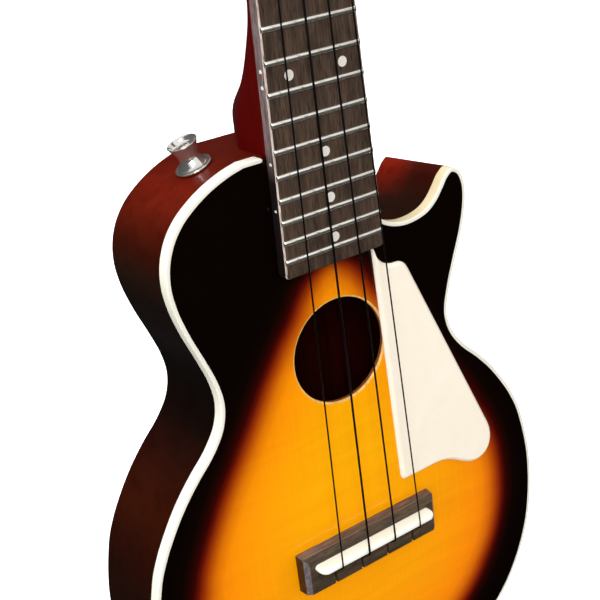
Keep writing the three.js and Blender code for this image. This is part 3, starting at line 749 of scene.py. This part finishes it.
def body_outline():
    """The body's outline from the middle of the neck joint, and the number of its tail point."""
    mirrored = [(-x, z) for x, z in LOWER_BOUT]
    around = BASS_SHOULDER + mirrored + [TAIL] + LOWER_BOUT[::-1] + TREBLE_HORN[::-1]
    tips = [(BINDING_START_X - step, JOIN_Z) for step in (0, 0.1, 0.35, 0.85, 3.0)]
    points = np.vstack([[(0, JOIN_Z)], tips, catmull(around, PER_SPAN), [(TONGUE_HALF, JOIN_Z)]])
    points[:, 0] = np.clip(points[:, 0], -WIDEST, WIDEST)
    tail = 1 + len(tips) + PER_SPAN * (len(BASS_SHOULDER) + len(mirrored))
    return points, tail


def swept(profile, first, last, pinch=(), turn=0):
    """A band along the outline from (inset, depth) pairs, between two points counted from point turn.

    pinch narrows its first points."""
    middle = np.mean([np.mean(distance) for distance, _ in profile])
    rings = []
    for distance, depth in profile:
        reach = np.zeros(len(OUTLINE)) + distance
        for index, share in enumerate(pinch, first):
            reach[index] = middle + (distance - middle) * share
        loop = np.roll(inset(OUTLINE, reach), -turn, 0)[first:last + 1]
        rings.append(lifted(loop, depth))
    return skin(np.array(rings).transpose(1, 0, 2))


def keep_seam(shell, seam):
    """Leaves a hairline between the two sides where they meet on the centre line."""
    verts, faces = shell
    verts[np.abs(verts[:, 0]) < 0.04, 0] = seam
    return verts, faces


def smooth(low, high, value):
    share = min(max((value - low) / (high - low), 0), 1)
    return share * share * (3 - 2 * share)


def lean(deep):
    """How far the horn's wall leans in at a depth, for every point of the outline."""
    share = [smooth(18, 40, x) * smooth(-275, -262, z) for x, z in OUTLINE]
    return np.array(share) * HORN_LEAN * (deep - BINDING_HEIGHT) / (BODY_DEPTH - BINDING_HEIGHT)


def side_wall(name, wall, tongue, seam, turn=0):
    """One bent side: its wall under the binding, and its strip under the top at the neck joint."""
    ledge, under = BINDING_HEIGHT + HAIRLINE, TOP_THICKNESS + HAIRLINE
    low = BACK_TOP - HAIRLINE
    profile = [(0, ledge), (lean(low), low), (SIDE_THICKNESS + lean(low), low), (SIDE_THICKNESS, ledge)]
    strip = [(0, under), (0, ledge), (SIDE_THICKNESS, ledge), (SIDE_THICKNESS, under)]
    whole = joined([swept(profile, *wall, turn=turn), swept(strip, *tongue, turn=turn)])
    piece(f"{name}_bent", keep_seam(whole, seam), "red_rim", node=name)


def distance_to(points, loop):
    """Signed distances from points to a closed loop, positive inside."""
    best = np.full(len(points), 1e9)
    inside = np.zeros(len(points), bool)
    for a, b in zip(loop, np.roll(loop, -1, 0)):
        edge = b - a
        share = np.clip(((points - a) @ edge) / (edge @ edge), 0, 1)
        best = np.minimum(best, np.linalg.norm(points - a - share[:, None] * edge, axis=1))
        crosses = (a[1] > points[:, 1]) != (b[1] > points[:, 1])
        past = (points[:, 1] - a[1]) * edge[0] > (points[:, 0] - a[0]) * edge[1]
        inside ^= crosses & (past == (edge[1] > 0))
    return np.where(inside, best, -best)


def burst_field(points):
    core = catmull(BURST_CORE, 6)
    loop = np.vstack([core, core[-2:0:-1] * (-1, 1)])
    return distance_to(points, loop)


def filled(outer, inner, spacing):
    """Points and triangles that fill the sheet between two closed loops."""
    low, high = outer.min(0), outer.max(0)
    columns = np.arange(low[0], high[0], spacing)
    rows = np.arange(low[1], high[1], spacing * 0.87)
    grid = np.array([(x + (k % 2) * spacing / 2, z) for k, z in enumerate(rows) for x in columns])
    clear = (distance_to(grid, outer) > 0.45 * spacing) & (distance_to(grid, inner) < -0.45 * spacing)
    points = np.vstack([outer, inner, grid[clear]])
    edges = [(start + k, start + (k + 1) % count)
             for start, count in ((0, len(outer)), (len(outer), len(inner))) for k in range(count)]
    found = delaunay_2d_cdt([Vector(point) for point in points.tolist()], edges, [], 0, 1e-6)
    source = [origins[0] for origins in found[3]]
    triangles = np.array([[source[k] for k in face] for face in found[2]])
    middles = points[triangles].mean(1)
    inside = (distance_to(middles, outer) > 0) & (distance_to(middles, inner) < 0)
    return points, triangles[inside]


def hole_zone(face):
    """Which part of the soundboard a face is on: 0 its face, 1 the soundhole's edge, 2 its wall."""
    centre = face.center * 1000
    out = math.hypot(centre.x, centre.z - HOLE_Z) - HOLE_RADIUS
    return 2 if out < 0.02 else 1 if out < 0.65 else 0


def soundboard():
    reach = np.zeros(len(OUTLINE))
    reach[1:LAST_BOUND + 1] = BINDING_WIDTH + HAIRLINE
    edge = inset(OUTLINE, reach)
    chamfer = [(0.8, 0), (0.4, 0.09), (0.12, 0.35), (0, 0.75), (0, TOP_THICKNESS)]
    rings = [circle(HOLE_POINTS) * (HOLE_RADIUS + out) + (0, HOLE_Z) for out, _ in chamfer]
    flat, triangles = filled(edge, rings[0], TOP_MESH_SPACING)
    size, first = len(flat), len(edge)
    under = flat.copy()
    under[first:first + HOLE_POINTS] = rings[-1]
    between = [(loop, deep) for loop, (_, deep) in zip(rings[1:-1], chamfer[1:-1])]
    layers = [(flat, 0), (under, TOP_THICKNESS), *between]
    verts = np.vstack([lifted(loop, deep) for loop, deep in layers])
    faces = [tuple(face) for face in triangles] + [tuple(face + size) for face in triangles]
    faces += wall_between(0, size, first)
    starts = [first] + [2 * size + k * HOLE_POINTS for k in range(len(between))] + [size + first]
    for start, end in zip(starts, starts[1:]):
        faces += wall_between(start, end, HOLE_POINTS)
    made = piece("soundboard_top", (verts, faces), "sunburst_top", node="soundboard", sharp=50)
    field = burst_field(verts[:, [0, 2]])
    made.data.attributes.new("burst", "FLOAT", "POINT").data.foreach_set("value", field.astype(np.float32))
    repaint(made, ("hole_edge", "hole_wall"), hole_zone)


def unfolded(loop, reach):
    """The loop with the points that overshot a tight bend drawn back into line."""
    kept = distance_to(loop, OUTLINE) > reach - 0.05
    count = np.arange(len(loop))
    return np.column_stack([np.interp(count, count[kept], part[kept]) for part in loop.T])


def back_plate():
    """The back with its rounded edge. Its inner face gets painted shade: bare wood darkened to near black."""
    levels = []
    for turn in np.sin(np.linspace(0, math.pi / 2, 9)) * math.pi / 2:
        depth = BACK_TOP + (BODY_DEPTH - BACK_TOP) * math.sin(turn)
        reach = BACK_ROUND * (1 - math.cos(turn)) + lean(depth)
        levels.append((unfolded(inset(OUTLINE, reach), reach), depth))
    made = piece("back_plate_round_edge", stack(levels), "red_back", node="back_plate")
    repaint(made, ["inside"], lambda face: int(face.normal.y < -0.9))


def binding():
    profile = [(BINDING_WIDTH, BINDING_HEIGHT), (BINDING_WIDTH, 0.12), (BINDING_WIDTH - 0.12, 0), (0.6, 0),
               (0.35, 0.05), (0.15, 0.18), (0.04, 0.36), (0, 0.6), (0, BINDING_HEIGHT)]
    shell = swept(profile, 1, LAST_BOUND, pinch=(0.2, 0.5, 0.85))
    piece("binding_strip", shell, "binding", node="top_binding")


def add_body():
    side_wall("side_bass", (0, TAIL_INDEX), (0, 1), -HAIRLINE)
    rest = len(OUTLINE) - TAIL_INDEX
    side_wall("side_treble", (0, rest), (LAST_BOUND - TAIL_INDEX, rest), HAIRLINE, TAIL_INDEX)
    soundboard()
    back_plate()
    binding()


# ---- pickguard, bridge and saddle

def pickguard():
    """A bevelled plate whose bevel narrows towards its point beside the fretboard."""
    loop = np.vstack([
        bezier((20, -260.9), (22.4, -267.6), (25, -270.6), (31.5, -270.8)),
        bezier((31.5, -270.8), (35.5, -270.8), (37, -273.8), (38.4, -277.4)),
        np.linspace((38.4, -277.4), (75.6, -363.6), 12)[:-1],
        bezier((75.6, -363.6), (79.2, -373.2), (74, -380.4), (66, -379.8)),
        bezier((66, -379.8), (58, -378.6), (54.5, -371.4), (43, -371.2)),
        [(43, -371.2), (34.5, -371.25)],
        bezier((26.4, -371.3), (24.6, -371.3), (23.8, -370.4), (23.7, -368.6), 8),
        np.linspace((23.7, -368.6), (20, -260.9), 14)[:-1],
    ])[::-1]
    steps = [(0.1, -0.05), (0, -0.2), (0, -0.75), (0.12, -0.95), (1.15, -1.85), (1.35, -1.96),
             (1.6, -2.0), (1.7, -2.0)]
    room = np.clip((-262 - loop[:, 1]) / 8, 0.05, 1)
    levels = [(inset(loop, distance * room), height) for distance, height in steps]
    piece("pickguard_plate", stack(levels), "pickguard", node="pickguard")


def string_places(spacing, middle=0.0):
    return [middle + step * spacing for step in (-1.5, -0.5, 0.5, 1.5)]


def stadium(half_length, radius):
    """The saddle's round-ended outline, anticlockwise."""
    angles = np.linspace(-math.pi / 2, math.pi / 2, 10)
    right = np.column_stack([half_length - radius + radius * np.cos(angles), radius * np.sin(angles)])
    return np.vstack([right, -right]) + (BRIDGE_X, SADDLE_Z)


def bridge_zone(face):
    """Which part of the bridge a face is on: 0 its top, 1 a bevel at its end, with a painted highlight, 2 its
    end, in painted shade, 3 its front, in painted light.
    """
    across = abs(face.normal.x)
    if abs(face.center.x * 1000 - BRIDGE_X) > BRIDGE_HALF - 4 and across > 0.5:
        return 2 if across > 0.85 else 1
    return 3 if face.center.z * 1000 > BRIDGE_FRONT_Z - 4 and face.normal.z > 0.85 else 0


def bridge():
    """A block with bevelled edges, a slot for the saddle and a groove for each string."""
    steps = [(0, 0, 0, -0.05), (0, 0, 0, -0.6), (0.4, 0.3, 0, -4.4), (0.5, 0.4, 0.02, -4.6),
             (0.75, 0.65, 0.05, -4.85), (2.2, 2.3, 0.1, -6.2), (2.5, 2.6, 0.2, -6.4),
             (2.9, 2.95, 0.4, -BRIDGE_HEIGHT), (3.0, 3.05, 0.5, -BRIDGE_HEIGHT)]
    levels = [(rounded(BRIDGE_X - BRIDGE_HALF + end, BRIDGE_X + BRIDGE_HALF - end, BRIDGE_BACK_Z + back,
                       BRIDGE_FRONT_Z - front, 0.5, 3), y) for end, front, back, y in steps]
    opening = stadium(SADDLE_HALF + 0.1, SADDLE_THICKNESS / 2 + 0.1)
    slot = stack([(opening, -8), (opening, -2.5)])
    grooves = [box((x - 0.55, -8, BRIDGE_BACK_Z - 1), (x + 0.55, -2, BRIDGE_BACK_Z + 7.6))
               for x in string_places(SADDLE_SPACING, BRIDGE_X)]
    made = piece("bridge_block", stack(levels), "bridge_rosewood", node="bridge",
                 cuts=[slot, *grooves])
    # painted highlight on the end bevels, painted shade on the ends, painted light on the front
    repaint(made, ("bridge_bevel_painted_highlight", "bridge_end_painted_shade", "bridge_front_painted_light"), bridge_zone)


def saddle():
    """A bone strip with a rounded crown, from (inset, shortening, drop from its top)."""
    loop = stadium(SADDLE_HALF, SADDLE_THICKNESS / 2)
    crown = [(0, 0, 9.8), (0, 0, 3.6), (0, 0.3, 2.2), (0.05, 0.9, 1.2), (0.2, 1.6, 0.5),
             (0.55, 2.3, 0.12), (1.0, 3.0, 0)]
    levels = []
    for thin, short, drop in crown:
        level = inset(loop, thin)
        level[:, 0] -= np.sign(level[:, 0] - BRIDGE_X) * short
        levels.append((level, drop - SADDLE_TOP))
    piece("saddle_bone", stack(levels), "bone", node="saddle")


# ---- fretboard, frets, nut and dots

def fret_z(number):
    return -SCALE_LENGTH * (1 - 2 ** (-number / 12))


def board_half(z):
    return (NUT_WIDTH + (LAST_FRET_WIDTH - NUT_WIDTH) * z / fret_z(FRET_COUNT)) / 2


def board_zone(face):
    """Which part of the fretboard a face is on: 0 its face, 1 its side, in painted light, 2 the edge between
    them, with a painted highlight.
    """
    across = abs(face.normal.x)
    return 1 if across > 0.9 else 2 if across > 0.3 else 0


def fretboard():
    wide, narrow = board_half(BOARD_END_Z), NUT_WIDTH / 2
    left = np.linspace((-narrow, 0), (-wide, BOARD_END_Z + 2), 14)
    end = np.array([(-wide + 0.6, BOARD_END_Z + 0.6), (-wide + 2, BOARD_END_Z)])
    half = np.vstack([left, end])
    loop = np.vstack([half, half[::-1] * (-1, 1)])
    steps = [(0, -0.05), (0, -4.05), (0.15, -4.4), (0.45, -4.68), (0.8, -BOARD_THICKNESS),
             (0.9, -BOARD_THICKNESS)]
    made = piece("fretboard_slab", stack(bevelled(loop, steps)), "rosewood", node="fretboard")
    # the side gets painted light, with painted shade over the body, and the edge a painted highlight
    repaint(made, ("board_side_painted_light", "board_edge_painted_highlight"), board_zone)


def fret(number):
    """A crowned wire with its ends dressed back."""
    z = fret_z(number)
    half = board_half(z) - 0.3
    arc = np.linspace(0, math.pi, 11)
    crown = [(1, -0.25), *zip(np.cos(arc), np.sin(arc)), (-1, -0.25)]
    ends = [(-half + inward, size) for inward, size in ((0, 0.05), (0.15, 0.4), (0.4, 0.75), (0.8, 1.0))]
    rings = []
    for x, size in ends + [(-x, size) for x, size in ends[::-1]]:
        rings.append([(x, -BOARD_THICKNESS - (size * up if up > 0 else up), z + 1.1 * across)
                      for across, up in crown])
    piece(f"fret_wire_{number:02d}", skin(rings), "fret_metal", node=f"fret_{number:02d}", sharp=60)


def nut():
    """A bone block with a notch for each string and rounded corners."""
    half = NUT_WIDTH / 2
    notch = [(0.95, NUT_TOP), (0.6, 6.75), (0.3, 6.4), (-0.3, 6.4), (-0.6, 6.75), (-0.95, NUT_TOP)]
    top = [(x + step, y) for x in string_places(NUT_SPACING)[::-1] for step, y in notch]
    corner = [(half, NUT_TOP - 1.2), (half - 0.35, NUT_TOP - 0.35), (half - 1.2, NUT_TOP)]
    other = [(-x, y) for x, y in corner[::-1]]
    loop = np.array([(-half, 0.05), (half, 0.05)] + corner + top + other)
    levels = bevelled(loop, [(0, 0.05), (0, 3.4), (0.12, 4.3), (0.35, NUT_LENGTH)])
    piece("nut_bone", stack(levels, lambda a, b, height: (a, -b, height)), "bone", node="nut")


def dot(name, radius, centre, axis):
    profile = [(0, -0.02), (radius, -0.02), (radius, DOT_HEIGHT * 0.6), (radius * 0.8, DOT_HEIGHT),
               (0, DOT_HEIGHT)]
    piece(name, lathe(profile, centre, axis, 28), "inlay")


def position_dots():
    """Dots on the board's face, and on its bass side for all but the last."""
    sides = {-12: "bass", 0: "middle", 12: "treble"}
    for number in DOTTED_FRETS:
        double = number == DOUBLE_DOT
        z = (fret_z(number) + fret_z(number - 1)) / 2
        for x in (-12, 12) if double else (0,):
            centre = (x + DOT_X, -BOARD_THICKNESS, z)
            dot(f"face_dot_{number:02d}_{sides[x]}", 2.0, centre, (0, -1, 0))
        if number == FRET_COUNT:
            continue
        for k, step in enumerate((-2.9, 2.9) if double else (0,), 1):
            centre = (-board_half(z + step), -2.5, z + step)
            dot(f"side_dot_{number:02d}_{k}", 0.95, centre, (-1, 0, 0))


# ---- neck and headstock

def head_point(x, deep, up):
    """A point of the headstock: deep behind its face, up from the nut's far edge."""
    c, s = math.cos(HEAD_TILT), math.sin(HEAD_TILT)
    return np.array([x, deep * c + up * s, NUT_LENGTH + up * c - deep * s])


def head_axis():
    """Square to the headstock's face, pointing behind it."""
    return head_point(0, 1, 0) - head_point(0, 0, 0)


def head_half(up):
    """The headstock's half width."""
    flare = bezier((17, 4), (17, 16), (29, 14), (30, 30), 30)
    straight = np.array([(30, 30), (32, 98)])
    crown = bezier((32, 98), (32, 107), (14, 110), (0, 110), 60)
    path = np.vstack([[(17, -5)], flare, straight, crown[1:], [(0, 110)]])
    return float(np.interp(up, path[:, 1], path[:, 0]))


def heel_share(deep):
    """The heel's half width at a share of its depth: parallel cheeks, a taper and a rounded back."""
    past = max(0, (deep - 0.88) / 0.12)
    return (1 - max(0, deep - HEEL_FLAT)) * math.sqrt(max(0, 1 - past * past))


def section(half, depth, fullness, bevel, heel=0.0):
    """A rounded section in (across, deep), flat at the front. heel blends it into the heel's."""
    points = [(half - bevel, 0.0)]
    for k in range(49):
        angle = math.pi * k / 48
        deep = abs(math.sin(angle)) ** (2 / fullness)
        across = (1 - heel) * abs(math.cos(angle)) ** (2 / fullness) + heel * heel_share(deep)
        points.append((math.copysign(half * across, 24 - k), bevel + (depth - bevel) * deep))
    points.append((-half + bevel, 0.0))
    return points


def neck_rings():
    rings = []
    heel = np.linspace(HEEL_FULL_Z - 5, HEEL_START_Z, 32)
    for z in (JOIN_Z + HAIRLINE, -209, *heel, -135, -110, -80, -50, -25, -12, -5, 0):
        swell = max((HEEL_START_Z - z) / (HEEL_START_Z - HEEL_FULL_Z), 0) ** HEEL_SWELL
        blend = min(swell, 1) - HEEL_CORNER / 4 * max(1 - abs(swell - 1) / HEEL_CORNER, 0) ** 2
        depth = NECK_DEPTH + (HEEL_DEPTH - NECK_DEPTH) * blend
        shape = section(board_half(z) - 0.1, depth, 2, 0.15, blend)
        rings.append([(x, deep, z) for x, deep in shape])
    crown = HEAD_LENGTH - 12 * (1 - np.sin(np.linspace(0, math.pi / 2, 16)))
    for up in (*np.linspace(1.5, 34, 24), 50, 66, 82, 92, *crown):
        grown = smooth(-2, 22, up)
        depth = NECK_DEPTH + (HEAD_THICKNESS - NECK_DEPTH) * grown
        half = max(head_half(up) - (0.1 if up < 4 else 0), 0.35)
        bevel = min(0.15 + 0.45 * grown, half * 0.4)
        shape = section(half, depth, 2 + 10 * grown, bevel)
        rings.append([head_point(x, deep, up) for x, deep in shape])
    return rings


def neck():
    holes = [rod(POST_HOLE_RADIUS, -5, 17, head_point(x, 0, up), head_axis(), 32) for x, up, _ in POSTS]
    piece("neck_and_head", skin(neck_rings()), "neck_wood", node="neck", cuts=holes, sharp=40)


# ---- tuning machines

def on_head(x, up):
    """A place for stack and lifted, round a point of the headstock."""
    return lambda a, b, height: head_point(x + a, height, up + b)


def housing(number, x, up, middle, outward):
    """A domed cover, hollow round the gear, with a collar for the shaft."""
    near, far = HEAD_THICKNESS + 0.3, HEAD_THICKNESS + HOUSING_DEPTH
    outer = rounded(-7, 7, -7, 11, 3, 6)
    inner = inset(outer, HOUSING_WALL)
    dome = [(0.1, near), (0, near + 0.3), (0, far - 2.4), (0.18, far - 1.5), (0.6, far - 0.75),
            (1.3, far - 0.25), (2.3, far), (2.4, far)]
    shell = stack([(inner, far - HOUSING_WALL), (inner, near), *bevelled(outer, dome)], on_head(x, up))
    bore = rod(SHAFT_HOLE_RADIUS, -12, 12, middle, outward, 24)
    piece(f"tuner_cover_{number}", shell, "chrome", node=f"tuner_housing_{number}", cuts=[bore], sharp=38)
    collar = [(SHAFT_HOLE_RADIUS, 7.02), (2.9, 7.02), (2.9, 8.0), (2.6, 8.4), (SHAFT_HOLE_RADIUS, 8.4)]
    piece(f"shaft_collar_{number}", ring(collar, middle, outward), "chrome")


def bushing(number, face):
    """The washer and the hexagon bushing that a post passes through at the front."""
    washer = rounded(3.25, 5.3, 0.03, 0.7, 0.25)
    hexagon = soften([(3.05, 0.7), (4.3, 0.7), (4.0, 2.2), (3.05, 2.2)], 0.3, closed=True)
    piece(f"post_washer_{number}", ring(washer, face, -head_axis()), "chrome")
    piece(f"post_bushing_{number}", hex_ring(hexagon, face, -head_axis()), "chrome")


def hex_ring(profile, origin, axis):
    """A ring whose outside is a hexagon, for a spanner."""
    verts, faces = ring(profile, origin, axis, 48)
    axis, side, other = frame_across(axis)
    offset = verts - origin
    along = offset @ axis
    across = offset - along[:, None] * axis
    radius = np.linalg.norm(across, axis=1)
    bearing = np.arctan2(across @ other, across @ side)
    flat = 1 / np.cos((bearing + math.pi / 6) % (math.pi / 3) - math.pi / 6)
    scale = np.where(radius > 3.4, np.minimum(flat, 1.12) * 0.98, 1.0)
    return origin + along[:, None] * axis + across * scale[:, None], faces


def post(number, x, up):
    """A string post with a waist for the string and a cross hole."""
    wide = POST_RADIUS
    barrel = [(0, -11.5), (wide, -11.5), (wide, -8.6), (2.2, -6.6), (2.2, -5.4), (wide, -3.4), (wide, 13.3),
              (3.6, 13.3)]
    foot = [(wide, 13.3), (wide, 17.3), (1.6, 17.3), (1.6, 18.3), (0, 18.3)]
    shaft = np.vstack([soften(barrel, 0.5)[:-1], foot])
    hole = tube([head_point(x - 4, -9.6, up), head_point(x + 4, -9.6, up)], 0.75, 16)
    piece(f"post_shaft_{number}", lathe(shaft, head_point(x, 0, up), head_axis(), 40), "chrome",
          body=f"post_{number}", node=f"string_post_{number}", cuts=[hole], sharp=40)


def gear(number, x, up):
    """The toothed wheel at the foot of a post."""
    spokes = circle(GEAR_TEETH * 4)
    radii = np.where(np.arange(len(spokes)) % 4 < 2, 4.55, 3.9)
    rim, inner = spokes * radii[:, None], spokes * 3.0
    levels = [(inner, 13.4), (rim, 13.4), (rim, 17.2), (inner, 17.2)]
    shell = hoop([lifted(loop, height, on_head(x, up)) for loop, height in levels])
    piece(f"post_gear_{number}", shell, "fret_metal", body=f"post_{number}")


def windings(number, x, up, outward):
    """Turns of string round the post's waist."""
    radius = STRING_RADII[number - 1]
    angles = np.linspace(0, 2 * math.pi * STRING_TURNS, 96)
    reach = 2.45 + radius
    deep = (angles / (2 * math.pi) - STRING_TURNS / 2) * radius * 2.05 - STRING_POST_HEIGHT
    path = head_point(x - outward * reach * np.cos(angles), deep, up + reach * np.sin(angles)).T
    piece(f"string_turns_{number}", tube(path, radius, 10), "string", body=f"post_{number}")


def worm(number, middle, outward):
    """A shaft with the worm's ridges, and a flange inside the button."""
    end = soften([(0, -7.4), (1.5, -7.4), (1.5, -3.5)], 0.2)
    ridge = [(1.55, -3.5), (2.15, -3.1), (2.15, -2.8), (1.55, -2.4)]
    thread = [(radius, height + k * WORM_PITCH) for k in range(6) for radius, height in ridge]
    flange = [(1.5, 3.7), (1.5, 14.2), (2.3, 14.4), (2.5, 14.9), (2.5, 15.9), (0, 15.9)]
    shell = lathe(np.vstack([end, thread, flange]), middle, outward, 28)
    piece(f"worm_{number}", shell, "chrome", body=f"knob_{number}", node=f"worm_shaft_{number}", sharp=40)


def button(number, middle, outward):
    """An oval button, dished on both faces."""
    half_x, half_z = BUTTON_HALF
    c, s = circle(40).T
    oval = np.column_stack([half_x * np.sign(c) * np.abs(c) ** 0.9, half_z * s])
    near = [(3.4, -2.55), (2.3, -2.9), (1.5, -3.2), (0.8, -3.15), (0.28, -2.6), (0.05, -1.5)]
    steps = near + [(0, 0)] + [(distance, -height) for distance, height in near[::-1]]
    centre = middle + np.multiply(outward, BUTTON_MIDDLE) - head_point(0, 0, 0)
    rings = [centre + lifted(oval * (1 - distance / half_z), height, on_head(0, 0))
             for distance, height in steps]
    piece(f"tuner_key_{number}", skin(rings), "tuner_button", body=f"knob_{number}",
          node=f"tuner_button_{number}", sharp=60)


def add_tuners():
    for number, (x, up, side) in enumerate(POSTS, 1):
        middle = head_point(x, GEAR_MIDDLE, up + WORM_OFFSET)
        outward = (side, 0, 0)
        housing(number, x, up, middle, outward)
        bushing(number, head_point(x, 0, up))
        post(number, x, up)
        gear(number, x, up)
        windings(number, x, up, side)
        worm(number, middle, outward)
        button(number, middle, outward)


# ---- strings

def string(number):
    """A string from its knot behind the bridge, over the saddle and the nut, to its post."""
    radius = STRING_RADII[number - 1]
    at_saddle = string_places(SADDLE_SPACING, BRIDGE_X)[number - 1]
    at_nut = string_places(NUT_SPACING)[number - 1]
    x, up, outward = POSTS[number - 1]
    over = SADDLE_TOP + radius + 0.02
    reach = POST_RADIUS + radius + 0.3
    low, high = -STRING_BRIDGE_HEIGHT, -STRING_NUT_HEIGHT
    rise = [(low, BRIDGE_BACK_Z + 1), (low, BRIDGE_BACK_Z + 4.1), (-over + 0.35, SADDLE_Z - 1.8),
            (-over, SADDLE_Z - 0.2), (-over + 0.02, SADDLE_Z + 1.4)]
    route = [(at_saddle, y, z) for y, z in rise] + [(at_nut, high, 0), (at_nut, high, NUT_LENGTH)]
    route.append(head_point(x - outward * reach, -STRING_POST_HEIGHT, up))
    path = soften(route, 1.2, steps=6)
    piece(f"string_wire_{number}", tube(path, radius), "string", node=f"string_{number}", sharp=60)
    bead = soften([(0, -0.61), (0.45, -0.5), (0.52, 0), (0.45, 0.5), (0, 0.61)], 0.22)
    knot = lathe(bead, (at_saddle, low, BRIDGE_BACK_Z + 0.9), (0, 0, 1), 16)
    piece(f"string_knot_{number}", knot, "string", sharp=60)


# ---- strap buttons

def strap_button(name, origin, outward):
    """A turned spool on a washer, with a cross-head screw down its middle."""
    plate = soften([(0, 0), (7.2, 0), (7.2, 0.8), (0, 0.8)], 0.3)
    piece(f"{name}_washer", lathe(plate, origin, outward), "chrome", sharp=50)
    foot = [(0, 0.85), (5.6, 0.85)]
    waist = [(5.8, 1.3), (5.2, 2.0), (4.6, 2.9), (4.05, 3.9), (3.9, 4.7), (4.1, 5.8), (4.9, 7.9), (5.9, 10.1)]
    lip = [(5.9, 10.1), (6.05, 10.4), (5.95, 10.58), (5.65, 10.55), (5.1, 9.9), (4.3, 8.8), (3.5, 8.45)]
    spool = np.vstack([foot, catmull(waist, 3)[:-1], catmull(lip, 3), [(0, 8.4)]])
    piece(f"{name}_spool", lathe(spool, origin, outward, 56), "chrome", node=name, sharp=50)
    head = [(0, 8.4), (2.5, 8.4), (2.45, 8.9), (1.9, 9.35), (1.0, 9.6), (0, 9.65)]
    axis, side, other = frame_across(outward)
    verts, faces = box((-1.6, -0.25, 0), (1.6, 0.25, 1.5))
    slots = [(origin + axis * 9.0 + verts @ (a, b, axis), faces) for a, b in ((side, other), (other, side))]
    piece(f"{name}_screw", lathe(head, origin, outward, 36), "chrome", cuts=slots, sharp=40)


# ---- assembly

def dress_inner_nodes():
    """The hidden timber keeps its CAD shape and gets bare wood."""
    for name in ("neck_block", "tail_block", "top_lining", "back_lining", "top_brace_upper",
                 "top_brace_lower", "bridge_plate", "back_brace"):
        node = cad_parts[name]
        node.data.materials.clear()
        node.data.materials.append(LOOKS["bare_wood"])


add_camera()
add_studio()
make_looks()
add_floor()
OUTLINE, TAIL_INDEX = body_outline()
LAST_BOUND = len(OUTLINE) - 3
add_body()
pickguard()
bridge()
saddle()
fretboard()
for fret_number in range(1, FRET_COUNT + 1):
    fret(fret_number)
nut()
position_dots()
neck()
add_tuners()
for string_number in range(1, 5):
    string(string_number)
for button_name, (button_point, button_axis) in STRAP_BUTTONS.items():
    strap_button(button_name, button_point, button_axis)
dress_inner_nodes()
